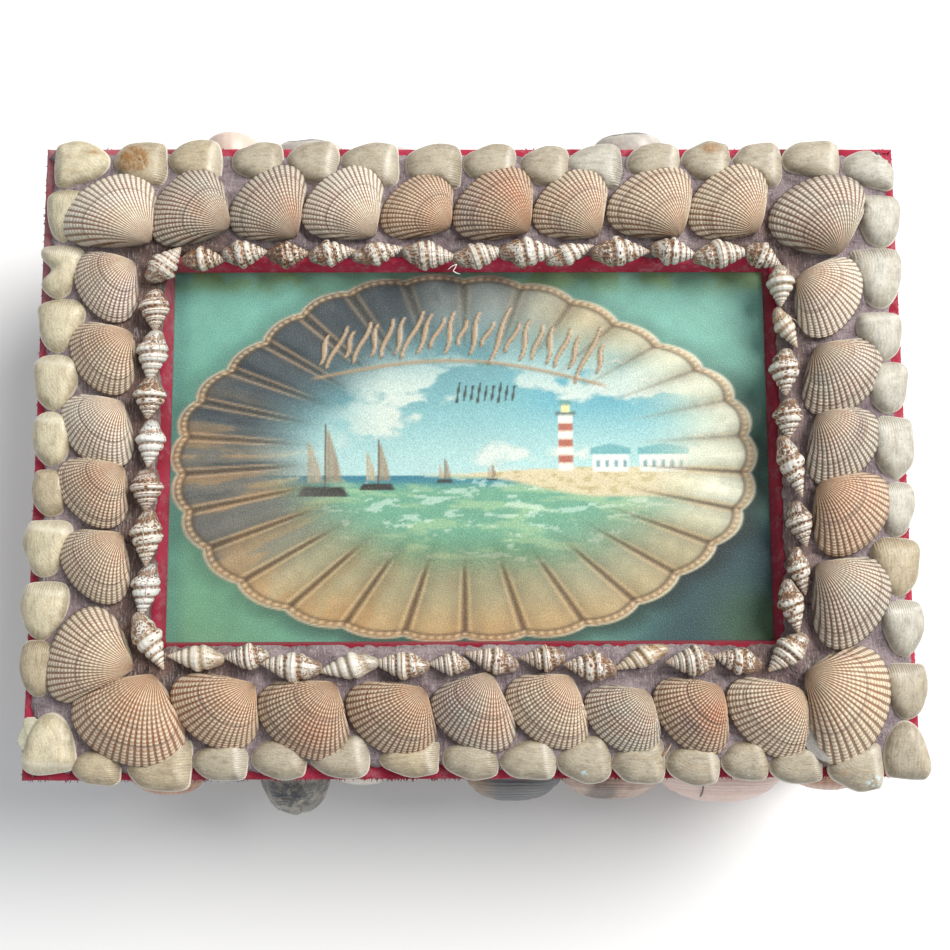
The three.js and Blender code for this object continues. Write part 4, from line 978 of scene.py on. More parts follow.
# ------------------------------------------------------------------ putty bed on the lid
def rect_ring(x0, x1, y0, y1, nx, ny):
    """Points round a rectangle, anticlockwise from the lower left corner."""
    sx, sy = np.linspace(0, 1, nx, endpoint=False), np.linspace(0, 1, ny, endpoint=False)
    return np.concatenate([
        np.stack([x0 + (x1 - x0) * sx, np.full(nx, y0)], 1), np.stack([np.full(ny, x1), y0 + (y1 - y0) * sy], 1),
        np.stack([x1 - (x1 - x0) * sx, np.full(nx, y1)], 1), np.stack([np.full(ny, x0), y1 - (y1 - y0) * sy], 1)])


def outward(ring):
    d = np.roll(ring, -1, 0) - np.roll(ring, 1, 0)
    n = np.stack([d[:, 1], -d[:, 0]], 1)
    return n / (np.linalg.norm(n, axis=1, keepdims=True) + 1e-9)


def putty_lid():
    nx, ny, nw = 230, 160, 30
    inner = rect_ring(WIN_X - WIN_W / 2, WIN_X + WIN_W / 2, WIN_Y - WIN_D / 2, WIN_Y + WIN_D / 2, nx, ny)
    outer = rect_ring(-LID_W / 2, LID_W / 2, -LID_D / 2, LID_D / 2, nx, ny)
    n_in, n_out = outward(inner), outward(outer)
    jag = lambda r, k, s: fbm(r[:, 0] * k, r[:, 1] * k, s, 5)
    inner = inner + n_in * np.maximum(0.75 + 0.55 * step(-38, -35, inner[:, 1]), 2.0 + 0.9 * step(38, 41, inner[:, 1]) - 1.2 * step(-38, -41, inner[:, 1]) + 1.3 * jag(inner, 0.16, 31) + 0.5 * jag(inner, 1.1, 32))[:, None]
    outer = outer - n_out * (2.3 + 1.9 * jag(outer, 0.11, 33) + 0.5 * jag(outer, 1.0, 34) + 1.6 * step(84, 92, outer[:, 0]) * step(60, 66, outer[:, 1]))[:, None]
    w = np.linspace(0, 1, nw)[None, :, None]
    xy = inner[:, None] * (1 - w) + outer[:, None] * w
    x, y = xy[..., 0], xy[..., 1]
    z = BED_TOP - 0.15 + 0.34 * fbm(x * 0.30, y * 0.30, 41, 5) + 0.16 * fbm(x * 1.3, y * 1.3, 43, 3)
    reach = ark_reach(x, y)
    z = z + 1.0 * step(1.16, 1.0, reach)
    for s in SIDES:
        for (cx, cy, ang, length, width, *_r) in WEDGES[s]:
            a = math.radians(ang)
            u = ((x - cx) * math.cos(a) + (y - cy) * math.sin(a)) / (length / 2)
            v = (-(x - cx) * math.sin(a) + (y - cy) * math.cos(a)) / (width / 2)
            z = z + 0.35 * step(1.25, 0.95, (np.abs(u) ** 2.6 + np.abs(v) ** 2.6) ** (1 / 2.6))
        for (cx, cy, ang, length, width) in SNAILS[s]:
            a = math.radians(ang)
            u = ((x - cx) * math.cos(a) + (y - cy) * math.sin(a)) / (length / 2)
            v = (-(x - cx) * math.sin(a) + (y - cy) * math.cos(a)) / (width / 2)
            z = z + 0.75 * step(1.5, 0.9, np.hypot(u, v))
    wr = np.broadcast_to(w[..., 0], z.shape)
    edge = step(0.0, 0.06, wr) * step(1.0, 0.95, wr)
    z = FRAME_Z1 + 0.12 + (np.minimum(z, SHELL_Z + 1.1) - FRAME_Z1 - 0.12) * (0.18 + 0.82 * edge)
    warm = 0.25 + 0.75 * step(22, 5, np.minimum(np.abs(np.abs(x - WIN_X) - WIN_W / 2), 99) + np.maximum(0, np.abs(y) - 47) * 1.3 + np.maximum(0, np.abs(x) - 72) * 0.7)
    warm = np.clip(warm * (0.6 + 0.4 * step(40, -60, x)) + 0.2 * fbm(x * 0.1, y * 0.1, 47), 0, 1)
    top = np.stack([x, y, z], -1)
    low_in = top[:, :1].copy(); low_in[..., 2] = FRAME_Z1 - 0.25
    low_out = top[:, -1:].copy(); low_out[..., 2] = FRAME_Z1 - 0.25
    sect = np.concatenate([top, low_out, low_in], 1)
    wm = np.concatenate([warm, warm[:, -1:], warm[:, :1]], 1)
    b = Build()
    b.add(sect.reshape(-1, 3), quads_of(*sect.shape[:2], wrap_c=True, wrap_r=True), warm=wm.reshape(-1))
    b.make("lid_putty_bed", PUTTY_MAT, ["lid_putty"])


putty_lid()


# ------------------------------------------------------------------ window frame board, wrapped in red paper
def frame_board():
    nx, ny = 150, 110
    x0, x1, y0, y1 = WIN_X - WIN_W / 2, WIN_X + WIN_W / 2, WIN_Y - WIN_D / 2, WIN_Y + WIN_D / 2
    inner, outer = rect_ring(x0, x1, y0, y1, nx, ny), rect_ring(-LID_W / 2, LID_W / 2, -LID_D / 2, LID_D / 2, nx, ny)
    n_in, n_out = outward(inner), outward(outer)
    rag = lambda r, s: 0.5 * fbm(r[:, 0] * 0.35, r[:, 1] * 0.35, s, 4)
    wi, wo = rag(inner, 51), rag(outer, 52)
    ring = []
    for k, (w, z) in enumerate([(0.30, 56.15), (0.52, 57.2), (0.84, 58.3), (1.12, 59.1), (1.5, 59.5), (2.1, 59.62), (3.4, 59.62), (6.0, 59.6)]):
        near = 1 - 0.62 * step(-40, -41, inner[:, 1]) * (w < 1.6)
        off = w * near + 0.40 * wi * near * (w < 1.6) * (k > 1)
        ring.append(np.column_stack([inner + n_in * off[:, None] if hasattr(off, "__len__") else inner + n_in * off, np.full(len(inner), z) + 0.10 * wi * (k > 2)]))
    for k, (w, z) in enumerate([(5.0, 59.6), (2.4, 59.62), (1.0, 59.62), (0.45, 59.5), (0.12, 59.1), (0.0, 58.4), (0.0, 57.0), (0.0, 55.75), (0.2, 55.62)]):
        off = w + 0.30 * wo * (k > 1)
        off = off if hasattr(off, "__len__") else np.full(len(outer), off)
        ring.append(np.column_stack([outer - n_out * off[:, None], np.full(len(outer), z) + 0.10 * wo * (k < 4)]))
    ring.append(np.column_stack([inner + n_in * 0.15, np.full(len(inner), 55.62)]))
    ring.append(np.column_stack([inner, np.full(len(inner), 55.9)]))
    sect = np.stack(ring, 1)
    b = Build()
    b.add(sect.reshape(-1, 3), quads_of(*sect.shape[:2], wrap_c=True, wrap_r=True))
    b.make("window_frame_papered", RED_MAT, ["window_frame"])


frame_board()
for node, mat, slot in (("tray", TRAY_MAT, "red"), ("lid_board", RED_MAT, "red")):
    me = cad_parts[node].data
    me.materials.clear()
    me.materials.append(mat)


# ------------------------------------------------------------------ printed card
def S(h):
    """sRGB triple 0..1 from hex, mixed in display space."""
    return np.array([int(h[i:i + 2], 16) / 255 for i in (0, 2, 4)])


def over(c, h, w):
    return c * (1 - w[..., None]) + S(h) * w[..., None]


def picture():
    nx, ny = 372, 231
    hw, hd = CARD_W / 2 + CARD_TUCK, CARD_D / 2 + CARD_TUCK
    x = np.linspace(WIN_X - hw, WIN_X + hw, nx)[None, :] + np.zeros((ny, 1))
    y = np.linspace(WIN_Y - hd, WIN_Y + hd, ny)[:, None] + np.zeros((1, nx))
    z = np.zeros_like(x)
    gilt = np.zeros_like(x)
    line = lambda d, w: np.clip(1 - np.abs(d) / w, 0, 1)
    # ground: blue-green, going to olive and navy at the lower right
    c = np.zeros(x.shape + (3,)) + S("67A08D")
    c = over(c, "76AF9F", step(-10, 40, y + 0.2 * x + 6 * fbm(x * .05, y * .05, 61)))
    c = over(c, "6C9A78", step(-20, -60, x) * step(5, -40, y) * 0.85)
    c = over(c, "507F70", step(35, 66, x) * step(30, 5, y) * 0.75)
    c = over(c, "28434A", step(30, 58, x - 0.5 * (y + 20)) * step(-6, -22, y) * 0.92)
    c = over(c, "4A6B42", step(46, 64, x) * step(-24, -38, y) * 0.7)
    c = over(c, "74853F", step(36.0, 40.5, y + 1.5 * fbm(x * 0.2, y * 0.2, 64)) * (0.25 + 0.5 * step(0.0, 0.3, fbm(x * 0.12, y * 0.12, 65))) * 0.7)
    c = over(c, "4C7F78", step(-62, -66, x) * 0.45)
    c = c * (1 + 0.07 * fbm(x * 0.3, y * 0.3, 62))[..., None]
    # the fluted dish
    cx, cy, ax, ay = -1.6, 0.3, 66.6, 42.2
    dx, dy = (x - cx) / ax, (y - cy) / ay
    rho = (np.abs(dx) ** 2.35 + np.abs(dy) ** 2.35) ** (1 / 2.35)
    phi = np.arctan2(dy, dx)
    lobes = 30
    cut = 0.12 * np.exp(-((phi - 0.85) / 0.42) ** 2) + 0.09 * np.exp(-((phi - 2.45) / 0.38) ** 2) + 0.05 * np.exp(-((phi + 0.72) / 0.30) ** 2)
    edge = 0.962 - cut + 0.024 * np.abs(np.cos(phi * lobes / 2)) ** 0.8
    q = rho / edge
    inside = step(1.004, 0.994, q)
    ray = phi * lobes / (2 * math.pi)
    flute = np.abs(np.sin(np.pi * (ray + 0.5)))
    # zone colours round the dish
    deg = np.degrees(phi) % 360
    fleck = fbm(ray * 2.6, q * 3.0, 66, 5)
    dish = np.zeros_like(c) + S("B7AC8C")
    dish = over(dish, "464E52", step(72, 106, deg) * step(205, 165, deg))
    dish = over(dish, "6B6962", step(160, 190, deg) * step(235, 210, deg))
    dish = over(dish, "AB9974", step(210, 240, deg) * step(320, 285, deg))
    dish = over(dish, "A39E80", step(285, 320, deg))
    dish = over(dish, "CCCDB4", np.maximum(step(325, 348, deg), step(62, 30, deg)))
    dish = over(dish, "7E8A8A", step(60, 85, deg) * step(110, 85, deg) * 0.8)
    dish = over(dish, "B08A5E", step(0.05, 0.35, fleck) * step(140, 185, deg) * step(300, 240, deg) * 0.55)
    dish = over(dish, "333C42", step(0.05, 0.35, -fleck) * step(85, 110, deg) * step(215, 180, deg) * 0.55)
    dish = over(dish, "E9E6D2", step(0.10, 0.40, fleck) * np.maximum(step(330, 348, deg), step(60, 30, deg)) * 0.5)
    dish = dish * (0.80 + 0.26 * flute + 0.08 * fbm(x * .5, y * .5, 63))[..., None]
    dish = over(dish, "C48E52", step(0.74, 0.95, q) * step(215, 250, deg) * step(345, 300, deg) * 0.25)
    dish = over(dish, "6B7B66", step(0.95, 0.60, q) * step(190, 230, deg) * step(350, 300, deg) * 0.45)
    gap = np.exp(-((flute) / 0.16) ** 2) * step(0.56, 0.68, q)
    dish = over(dish, "5E4630", gap * 0.80 * (0.35 + 0.65 * step(150, 200, deg)))
    gold = np.exp(-((flute - 0.30) / 0.10) ** 2) * step(0.55, 0.70, q)
    dish = over(dish, "D9B98A", gold * 0.55 * (0.4 + 0.6 * step(170, 220, deg)))
    tick = np.exp(-((flute - 0.36) / 0.10) ** 2) * step(0.60, 0.70, q) * step(95, 130, deg) * step(215, 190, deg)
    dish = over(dish, "C9A27E", tick * 0.55)
    shadow = step(0.995, 0.93, q)
    dish = dish * (0.82 + 0.18 * shadow)[..., None]
    # sea and sky in the middle
    horizon = -4.5
    sky = np.zeros_like(c) + S("83B9BC")
    sky = over(sky, "5E8C93", step(8, 30, y + 0.25 * x * -1))
    sky = over(sky, "5FA9BB", step(2, 24, x) * step(2, 16, y) * step(34, 20, y) * 0.8)
    sky = over(sky, "B3D6D2", step(14, -4, y))
    puff = fbm(x * 0.055 + 4.0, y * 0.12 - 1.0, 71, 6) + 0.10 * fbm(x * 0.4, y * 0.5, 72)
    cloud = step(0.00, 0.22, puff) * step(30, 12, y) * step(-38, -18, x)
    sky = over(sky, "D9E2D6", cloud * 0.92)
    sky = over(sky, "A3BFBC", cloud * step(0.06, 0.0, puff - 0.12) * 0.35)
    sea = np.zeros_like(c) + S("6FA58A")
    sea = over(sea, "3F7F92", step(horizon - 3.4, horizon - 0.4, y))
    sea = over(sea, "3E8A66", step(-16, -24, y + 2 * fbm(x * .1, y * .3, 73)) * 0.8)
    sea = over(sea, "A8C79A", step(0.12, 0.35, fbm(x * 0.09, y * 0.45, 74, 5)) * 0.6)
    sea = over(sea, "DDEBDD", step(0.26, 0.36, fbm(x * 0.22, y * 0.9, 75, 4)) * 0.5)
    view = np.where((y > horizon)[..., None], sky, sea)
    # a low sand spit with a light tower and two cottages, and small boats
    spit = horizon + 0.2 + 1.5 * step(-6, 26, x) - 0.5 * fbm(x * .12, x * 0, 76)
    sand = step(-14, 2, x) * step(-5.4 - 4.4 * step(0, 30, x), -4.2 - 4.4 * step(0, 30, x), y) * step(spit + 0.5, spit, y)
    view = over(view, "D6C9A4", sand)
    view = over(view, "A89A63", sand * step(0.1, 0.3, fbm(x * .5, y * 1.1, 77)) * 0.5)
    def block(x0, x1, y0, y1, h, w=1.0):
        nonlocal view
        m = step(x0 - .25, x0 + .25, x) * step(x1 + .25, x1 - .25, x) * step(y0 - .25, y0 + .25, y) * step(y1 + .25, y1 - .25, y)
        view = over(view, h, m * w)
    block(19.4, 22.6, -3.4, 9.4, "EFEBDD")
    for k in range(3):
        block(19.4, 22.6, -1.6 + 3.6 * k, 0.1 + 3.6 * k, "A5523E", 0.85)
    block(18.7, 23.3, 9.2, 9.9, "5C6F6C")
    block(20.0, 22.0, 9.8, 11.6, "F1E2A2")
    block(19.6, 22.4, 11.4, 12.5, "6E9C98")
    for hx, hw in ((27.0, 8.0), (37.5, 10.5)):
        block(hx, hx + hw, -3.6, 0.2, "E9EBE2")
        roof = step(0.0, 0.3, y - 0.1) * step(2.9, 2.5, y + 2.2 * np.abs((x - hx - hw / 2) / hw) ** 1.2) * step(hw / 2 + .7, hw / 2 + .3, np.abs(x - hx - hw / 2))
        view = over(view, "74AEB0", roof)
        for k in range(int(hw // 2)):
            block(hx + 0.8 + 2.0 * k, hx + 1.6 + 2.0 * k, -2.6, -1.0, "5D8C94", 0.8)
    for bx, bs in ((-33.0, 1.5), (-21.0, 1.05), (-6.0, 0.5), (4.5, 0.36)):
        hull = step(3.6 * bs, 3.0 * bs, np.abs(x - bx) + 0.6 * (y - horizon + 2.2 * bs)) * step(horizon - 3.2 * bs, horizon - 2.9 * bs, y) * step(horizon - 1.4 * bs, horizon - 1.8 * bs, y)
        view = over(view, "3A3A38", hull)
        for off, high, h in ((0.5, 8.4, "9C8A72"), (-2.3, 6.6, "B7A98E")):
            u = (x - bx - off * bs) / bs
            t = (y - horizon + 1.2 * bs) / (high * bs)
            sail = step(-0.02, 0.08, t) * step(1.0, 0.92, t) * step(-0.2, 0.15, u) * step(0.22, -0.22, u - 2.5 * np.clip(1 - t, 0, 1) ** 0.8)
            sail = sail * (0.86 + 0.14 * np.sin(u * 5 + 1))
            view = over(view, h, sail * 0.95)
        m = step(0.22, 0.1, np.abs(x - bx - 0.35 * bs)) * step(horizon - 1.8 * bs, horizon - 1.6 * bs, y) * step(horizon + 8.0 * bs, horizon + 7.6 * bs, y)
        view = over(view, "5A4A38", m * 0.8)
    for gx, gy, gs in ((34, 21, 2.6), (40, 17, 1.9), (29, 15.5, 1.6)):
        u = (x - gx) / gs
        m = line(y - gy - 0.32 * gs * np.abs(np.sin(np.clip(u, -1, 1) * math.pi * 0.9)) + 0.2, 0.42) * step(1.05, 0.9, np.abs(u))
        view = over(view, "F4F4EE", m * 0.9)
    blend = step(0.86, 0.50, q + 0.16 * step(10, -30, y) + 0.05 * step(0, -40, x) - 0.10 * step(0, 40, x))
    blend = blend * (1 - 0.25 * gap)
    dish = dish * (1 - blend[..., None]) + view * blend[..., None]
    c = c * (1 - inside[..., None]) + dish * inside[..., None]
    z = z + inside * (0.10 + 0.26 * (flute ** 0.7) * step(0.50, 0.8, q) * (1 - 0.6 * blend)) * step(1.0, 0.975, q)
    # dark cast shadow of the dish, then the rim: a pale edge line and a row of gilt beads
    cast = step(1.10, 1.0, q) * (1 - inside) * (0.25 + 0.5 * step(0.0, 0.7, 0.6 * dx - 0.8 * dy))
    c = c * (1 - 0.62 * cast[..., None])
    pale = np.exp(-((q - 0.993) / 0.007) ** 2)
    c = over(c, "DDD3B8", pale * 0.8)
    bead = np.exp(-((q - 0.976) / 0.008) ** 2) * (0.5 + 0.5 * np.cos(phi * 216))
    c = over(c, "A98560", np.exp(-((q - 0.976) / 0.009) ** 2) * 0.65)
    c = over(c, "E9CFA6", bead * 0.8)
    c = over(c, "54402E", np.exp(-((q - 0.960) / 0.006) ** 2) * 0.55)
    z = z + 0.26 * bead + 0.12 * pale
    gilt = np.maximum(gilt, bead)
    # gilt flourishes: rows of shallow slanting strokes that spell nothing
    rng = np.random.default_rng(5)
    for k in range(23):
        s = k / 22
        px, py = -33 + 62 * s, 24.0 + 5.0 * math.sin(s * math.pi) * 1.0 - 2.0 * s
        high = (2.6 + 2.3 * abs(math.sin(k * 1.7))) * (1.35 if k % 7 == 0 else 1.0)
        lean = 0.34 + 0.1 * math.sin(k)
        t = (y - py) / high
        d = x - px - lean * (y - py) - 0.5 * np.sin(t * 2.6) * (1 if k % 2 else -1)
        w = step(1.08, 0.9, np.abs(t)) * np.clip(1.12 - np.abs(d) / (0.62 * (1.15 - 0.5 * np.abs(t))), 0, 1)
        m = step(0.12, 0.55, w)
        c = over(c, "B3987A", m * 0.95)
        c = over(c, "E3D0B0", np.clip(1 - np.abs(d + 0.22) / 0.26, 0, 1) * m * 0.45)
        c = over(c, "6D4F38", step(0.02, 0.16, w) * (1 - m) * 0.65)
        z = z + 0.34 * step(0.0, 0.8, w)
        gilt = np.maximum(gilt, m)
    under = np.exp(-((y - (18.0 + 4.5 * np.sin((x + 33) / 62 * math.pi) - 0.03 * (x + 33))) / 0.42) ** 2) * step(-37, -34, x) * step(32, 28, x)
    c = over(c, "AC9274", under * 0.9)
    z = z + 0.22 * under
    gilt = np.maximum(gilt, under)
    for k in range(9):
        px = -3.0 + 1.55 * k
        m = step(0.34, 0.16, np.abs(x - px - 0.15 * (y - 14.2))) * step(1.9 + 0.6 * (k % 3 == 0), 1.6 + 0.6 * (k % 3 == 0), np.abs(y - 14.2))
        c = over(c, "34322E", m * 0.85)
    c = np.clip(c, 0, 1)
    top = np.stack([x, y, CARD_TOP + 0.02 + z * 0.9], -1)
    nr, nc = x.shape
    idx = np.arange(nr * nc).reshape(nr, nc)
    loop = np.concatenate([idx[0], idx[1:, -1], idx[-1, -2::-1], idx[-2:0:-1, 0]])
    low = top.reshape(-1, 3)[loop].copy()
    low[:, 2] = FRAME_Z0 + 0.02
    k, n0 = len(loop), nr * nc
    v = np.concatenate([top.reshape(-1, 3), low, [[WIN_X, WIN_Y, FRAME_Z0 + 0.02]]])
    a, bb = np.arange(k), (np.arange(k) + 1) % k
    skirt = np.stack([loop[bb], loop[a], n0 + a, n0 + bb], 1)
    under_t = np.stack([n0 + bb, n0 + a, np.full(k, n0 + k)], 1)
    cc = lin(c).reshape(-1, 3)
    ext = lambda s: np.concatenate([s, s[loop], s[:1]])
    b = Build()
    b.add(v, np.concatenate([quads_of(nr, nc), skirt]), under_t, c_print=ext(cc), gilt=ext(gilt.reshape(-1)))
    b.make("picture_card_printed", CARD_MAT, ["picture_card"])


picture()


# ------------------------------------------------------------------ broken plates and threads
def shard(b, outline, z, thick, hi, lo, curl, seed):
    """A thin broken plate: ragged outline, slightly domed, closed all round."""
    ring = smooth_loop(outline, 56)
    ring = ring + outward(ring) * (0.16 * noise(np.arange(56) * 0.9, 0.5, seed))[:, None]
    mid = ring.mean(0)
    fs = np.array([1.0, 0.93, 0.8, 0.6, 0.4, 0.2])[:, None]
    xy = mid + (ring[None] - mid) * fs[..., None]
    top = z + curl * (1 - fs ** 2) + 0.12 * fbm(xy[..., 0] * 1.1, xy[..., 1] * 1.1, seed)
    n, nr = len(ring), len(fs)
    low = top - thick
    low[0] = top[0] - 0.8 * thick
    pts = np.concatenate([np.stack([xy[..., 0], xy[..., 1], top], -1).reshape(-1, 3), np.stack([xy[..., 0], xy[..., 1], low], -1).reshape(-1, 3),
                          [[*mid, float(top[-1].mean())]], [[*mid, float(low[-1].mean())]]])
    k, j = nr * n, np.arange(n)
    under = quads_of(nr, n, wrap_c=True)[:, ::-1] + k
    side = np.stack([(j + 1) % n, j, k + j, k + (j + 1) % n], 1)
    last = (nr - 1) * n
    tri = np.concatenate([np.stack([last + j, last + (j + 1) % n, np.full(n, 2 * k)], 1), np.stack([k + last + (j + 1) % n, k + last + j, np.full(n, 2 * k + 1)], 1)])
    f = np.concatenate([np.tile((fs * np.ones(n)).reshape(-1), 2), [0, 0]])
    ang = np.concatenate([np.tile(np.broadcast_to(j / n, (nr, n)).reshape(-1), 2), [0, 0]])
    b.add(pts, np.concatenate([quads_of(nr, n, wrap_c=True), under, side]), tri, vp=np.stack([ang, f, np.full(len(pts), float(seed))], 1),
          vk=np.array([0.25, 0.1, 0.5]), c_hi=rgb(hi), c_lo=rgb(lo))


def tube(b, path, radius, hi, lo, seed):
    """A thin closed tube along a path, tapering at both ends."""
    path, n = np.asarray(path, float), 6
    d = np.gradient(path, axis=0)
    d /= np.linalg.norm(d, axis=1, keepdims=True)
    side = np.cross(d, [0, 0, 1.0])
    side /= np.linalg.norm(side, axis=1, keepdims=True)
    up = np.cross(side, d)
    m = len(path)
    r = radius * np.sqrt(np.clip(1 - np.abs(np.linspace(-1, 1, m)) ** 4, 0.03, 1))
    a = np.arange(n) / n * 2 * math.pi
    pts = path[:, None] + r[:, None, None] * (side[:, None] * np.cos(a)[None, :, None] + up[:, None] * np.sin(a)[None, :, None])
    pts = np.concatenate([pts.reshape(-1, 3), path[:1], path[-1:]])
    j, k = np.arange(n), m * n
    caps = np.concatenate([np.stack([(j + 1) % n, j, np.full(n, k)], 1), np.stack([k - n + j, k - n + (j + 1) % n, np.full(n, k + 1)], 1)])
    b.add(pts, quads_of(m, n, wrap_c=True), caps, vp=np.tile([0.0, 0.5, float(seed)], (len(pts), 1)), vk=np.array([0.1, 0.0, 0.3]), c_hi=rgb(hi), c_lo=rgb(lo))


# ------------------------------------------------------------------ walls
def on_wall(side, s, out, z):
    if side == "front":
        return np.stack([s, -(67 + out), z], -1)
    if side == "back":
        return np.stack([-s, 67 + out, z], -1)
    if side == "right":
        return np.stack([93 + out, s, z], -1)
    return np.stack([-(93 + out), -s, z], -1)


def wall_putty(side, run):
    n, m = int(run / 2.2), 24
    s = np.linspace(-run / 2 + 0.8, run / 2 - 0.8, n)[None, :] + np.zeros((m, 1))
    z = np.linspace(1.5, 50.5, m)[:, None] + np.zeros((1, n))
    seed = 300 + SIDES.index(side)
    out = 2.25 + 0.45 * fbm(s * 0.22, z * 0.22, seed, 5)
    zz = z.copy()
    zz[-1] = 50.3 + 0.3 * noise(s[-1] * 0.4, 0.2, seed)
    zz[0] = 1.6 + 0.3 * noise(s[0] * 0.4, 0.7, seed)
    out[[0, -1]] -= 1.0
    out[:, [0, -1]] -= 0.9
    back = np.full_like(out, 0.3)
    p = on_wall(side, s, out, zz).reshape(-1, 3)
    p2 = on_wall(side, s, back, zz).reshape(-1, 3)
    idx = np.arange(m * n).reshape(m, n)
    loop = np.concatenate([idx[0], idx[1:, -1], idx[-1, -2::-1], idx[-2:0:-1, 0]])
    k = len(loop)
    rim = p2[loop]
    centre = on_wall(side, np.array(0.0), np.array(0.3), np.array(26.0))[None]
    v = np.concatenate([p, rim, centre])
    a, bb = np.arange(k), (np.arange(k) + 1) % k
    skirt = np.stack([loop[bb], loop[a], m * n + a, m * n + bb], 1)
    tri = np.stack([m * n + bb, m * n + a, np.full(k, m * n + k)], 1)
    b = Build()
    b.add(v, np.concatenate([quads_of(m, n), skirt]), tri, warm=0.35)
    b.make(f"wall_putty_{side}_rough", PUTTY_MAT, [f"wall_putty_{side}"])


def valve_build(b, side, i, row, run):
    s0, width, height, depth, lean, kind = row
    main, second, bands, rays, mott = KINDS[kind]
    seed = 400 + SIDES.index(side) * 20 + i
    rng = np.random.default_rng(seed)
    n = 60
    ang = np.linspace(0, 2 * math.pi, n, endpoint=False)
    sn, cs = np.sin(ang), np.cos(ang)
    if kind == "mussel":
        ring = np.stack([cs * width / 2 * (1 + 0.30 * sn), sn * height / 2], 1)
        hub = np.array([0, -0.36 * height])
    elif kind == "limpet":
        ring = np.stack([cs * width / 2, sn * height / 2], 1) * (1 + 0.05 * noise(ang * 1.6, 0.3, seed))[:, None]
        hub = np.array([0.4, -0.02 * height])
    else:
        ring = np.stack([cs * width / 2 * (1 + 0.10 * sn), sn * height / 2 * (1 + 0.03 * cs)], 1) * (1 + 0.015 * noise(ang * 2, 0.6, seed))[:, None]
        hub = np.array([0.06 * width, -0.26 * height])
    fs = np.array([1, 0.985, 0.955, 0.91, 0.86, 0.80, 0.73, 0.66, 0.58, 0.49, 0.40, 0.30, 0.20, 0.10])[:, None]
    xy = hub + (ring[None] - hub) * fs[..., None]
    if kind == "limpet":
        z = depth * (1 - fs ** 2.6) ** 0.62 + 0 * ang
        z = z + 0.9 * fbm(xy[..., 0] * 0.34, xy[..., 1] * 0.34, seed, 5)
    else:
        z = depth * (1 - fs ** 2.4) ** 0.66 + 0 * ang
        toward = xy[..., 1] / height
        z = z * (1 + 0.06 * toward)
        z = z + (0.12 * np.cos(ang * 30)[None, :] * fs * rays)
        for w in rng.uniform(0.45, 0.92, 4):
            z = z - 0.14 * np.exp(-((fs - w) / 0.02) ** 2)
    z = z + 0.10 * fbm(xy[..., 0] * 0.3, xy[..., 1] * 0.3 + seed, seed)
    z = np.minimum(np.maximum(z, 0.0), depth)
    a = math.radians(lean)
    sx = s0 + xy[..., 0] * math.cos(a) - xy[..., 1] * math.sin(a)
    zz = UPPER_Z + xy[..., 0] * math.sin(a) + xy[..., 1] * math.cos(a)
    tip, up = STAND_OFF.get((side, i), (0.0, 0.0))
    z = z * (1 - 0.45 * min(1.0, tip / 6)) + tip * step(UPPER_Z - 8, UPPER_Z + 12, zz)
    zz = zz + up * step(UPPER_Z, UPPER_Z + 14, zz)
    top = on_wall(side, sx, 2.5 + z, zz)
    foot = on_wall(side, sx[0], np.full(n, 1.4), zz[0])
    ca, sa = math.cos(a), math.sin(a)
    hx, hz = s0 + hub[0] * ca - hub[1] * sa, UPPER_Z + hub[0] * sa + hub[1] * ca
    cap = on_wall(side, np.array([hx, hx]), np.array([2.5 + min(depth, float(z[-1].max()) + 0.05), 1.4]), np.array([hz, hz]))
    nr = len(fs)
    if (side, i) == ("front", 8):                    # a short crack from its edge
        lit = np.where(np.sin(ang) > 0.1)[0]
        col_at = lit[np.argmin(np.abs(sx[4, lit] - 51.6))]
        path = top[3:8, col_at] + np.array([0.0, -0.05, 0.05])
        steps = np.linspace(0, len(path) - 1, 22)
        path = np.stack([np.interp(steps, np.arange(len(path)), path[:, k]) for k in range(3)], 1)
        path[:, 0] = 51.6 + 0.35 * np.sin(np.linspace(0.2, 2.6, 22))
        tube(b, path, 0.16, "2E2220", "1E1614", 806)
    v = np.concatenate([top.reshape(-1, 3), foot, cap])
    k = nr * n
    j = np.arange(n)
    q = np.concatenate([quads_of(nr, n, wrap_c=True), np.stack([(j + 1) % n, j, k + j, k + (j + 1) % n], 1)])
    last = (nr - 1) * n
    tri = np.concatenate([np.stack([last + j, last + (j + 1) % n, np.full(n, k + n)], 1), np.stack([k + (j + 1) % n, k + j, np.full(n, k + n + 1)], 1)])
    vp = np.stack(np.broadcast_arrays((ang / (2 * math.pi))[None, :], fs, float(seed)), -1).reshape(-1, 3)
    vp = np.concatenate([vp, vp[:n], [[0.25, 0, seed]], [[0.25, 1, seed]]])
    hi, lo = rgb(main), rgb(second)
    hi = np.tile(hi, (len(v), 1))
    lo = np.tile(lo, (len(v), 1))
    fx = np.concatenate([xy[..., 0].reshape(-1), xy[0, :, 0], [0, 0]]) / width
    ff = np.concatenate([(fs * np.ones(n)).reshape(-1), np.ones(n), [0, 1]])
    if kind == "mussel":
        gold = step(-0.12, -0.42, fx)
        hi = hi * (1 - gold[:, None]) + rgb("8F6B38") * gold[:, None]
        lo = lo * (1 - gold[:, None]) + rgb("4A3420") * gold[:, None]
    if kind == "brown" and side == "front":
        dark = step(0.16, 0.07, np.abs(fx + 0.12)) * step(0.05, 0.2, ff) * step(1.0, 0.8, ff)
        hi = hi * (1 - 0.8 * dark[:, None]) + rgb("3E2520") * 0.8 * dark[:, None]
        lo = lo * (1 - 0.8 * dark[:, None]) + rgb("33201C") * 0.8 * dark[:, None]
    b.add(v, q, tri, vp=vp, vk=np.array([bands, rays, mott]), c_hi=hi, c_lo=lo)


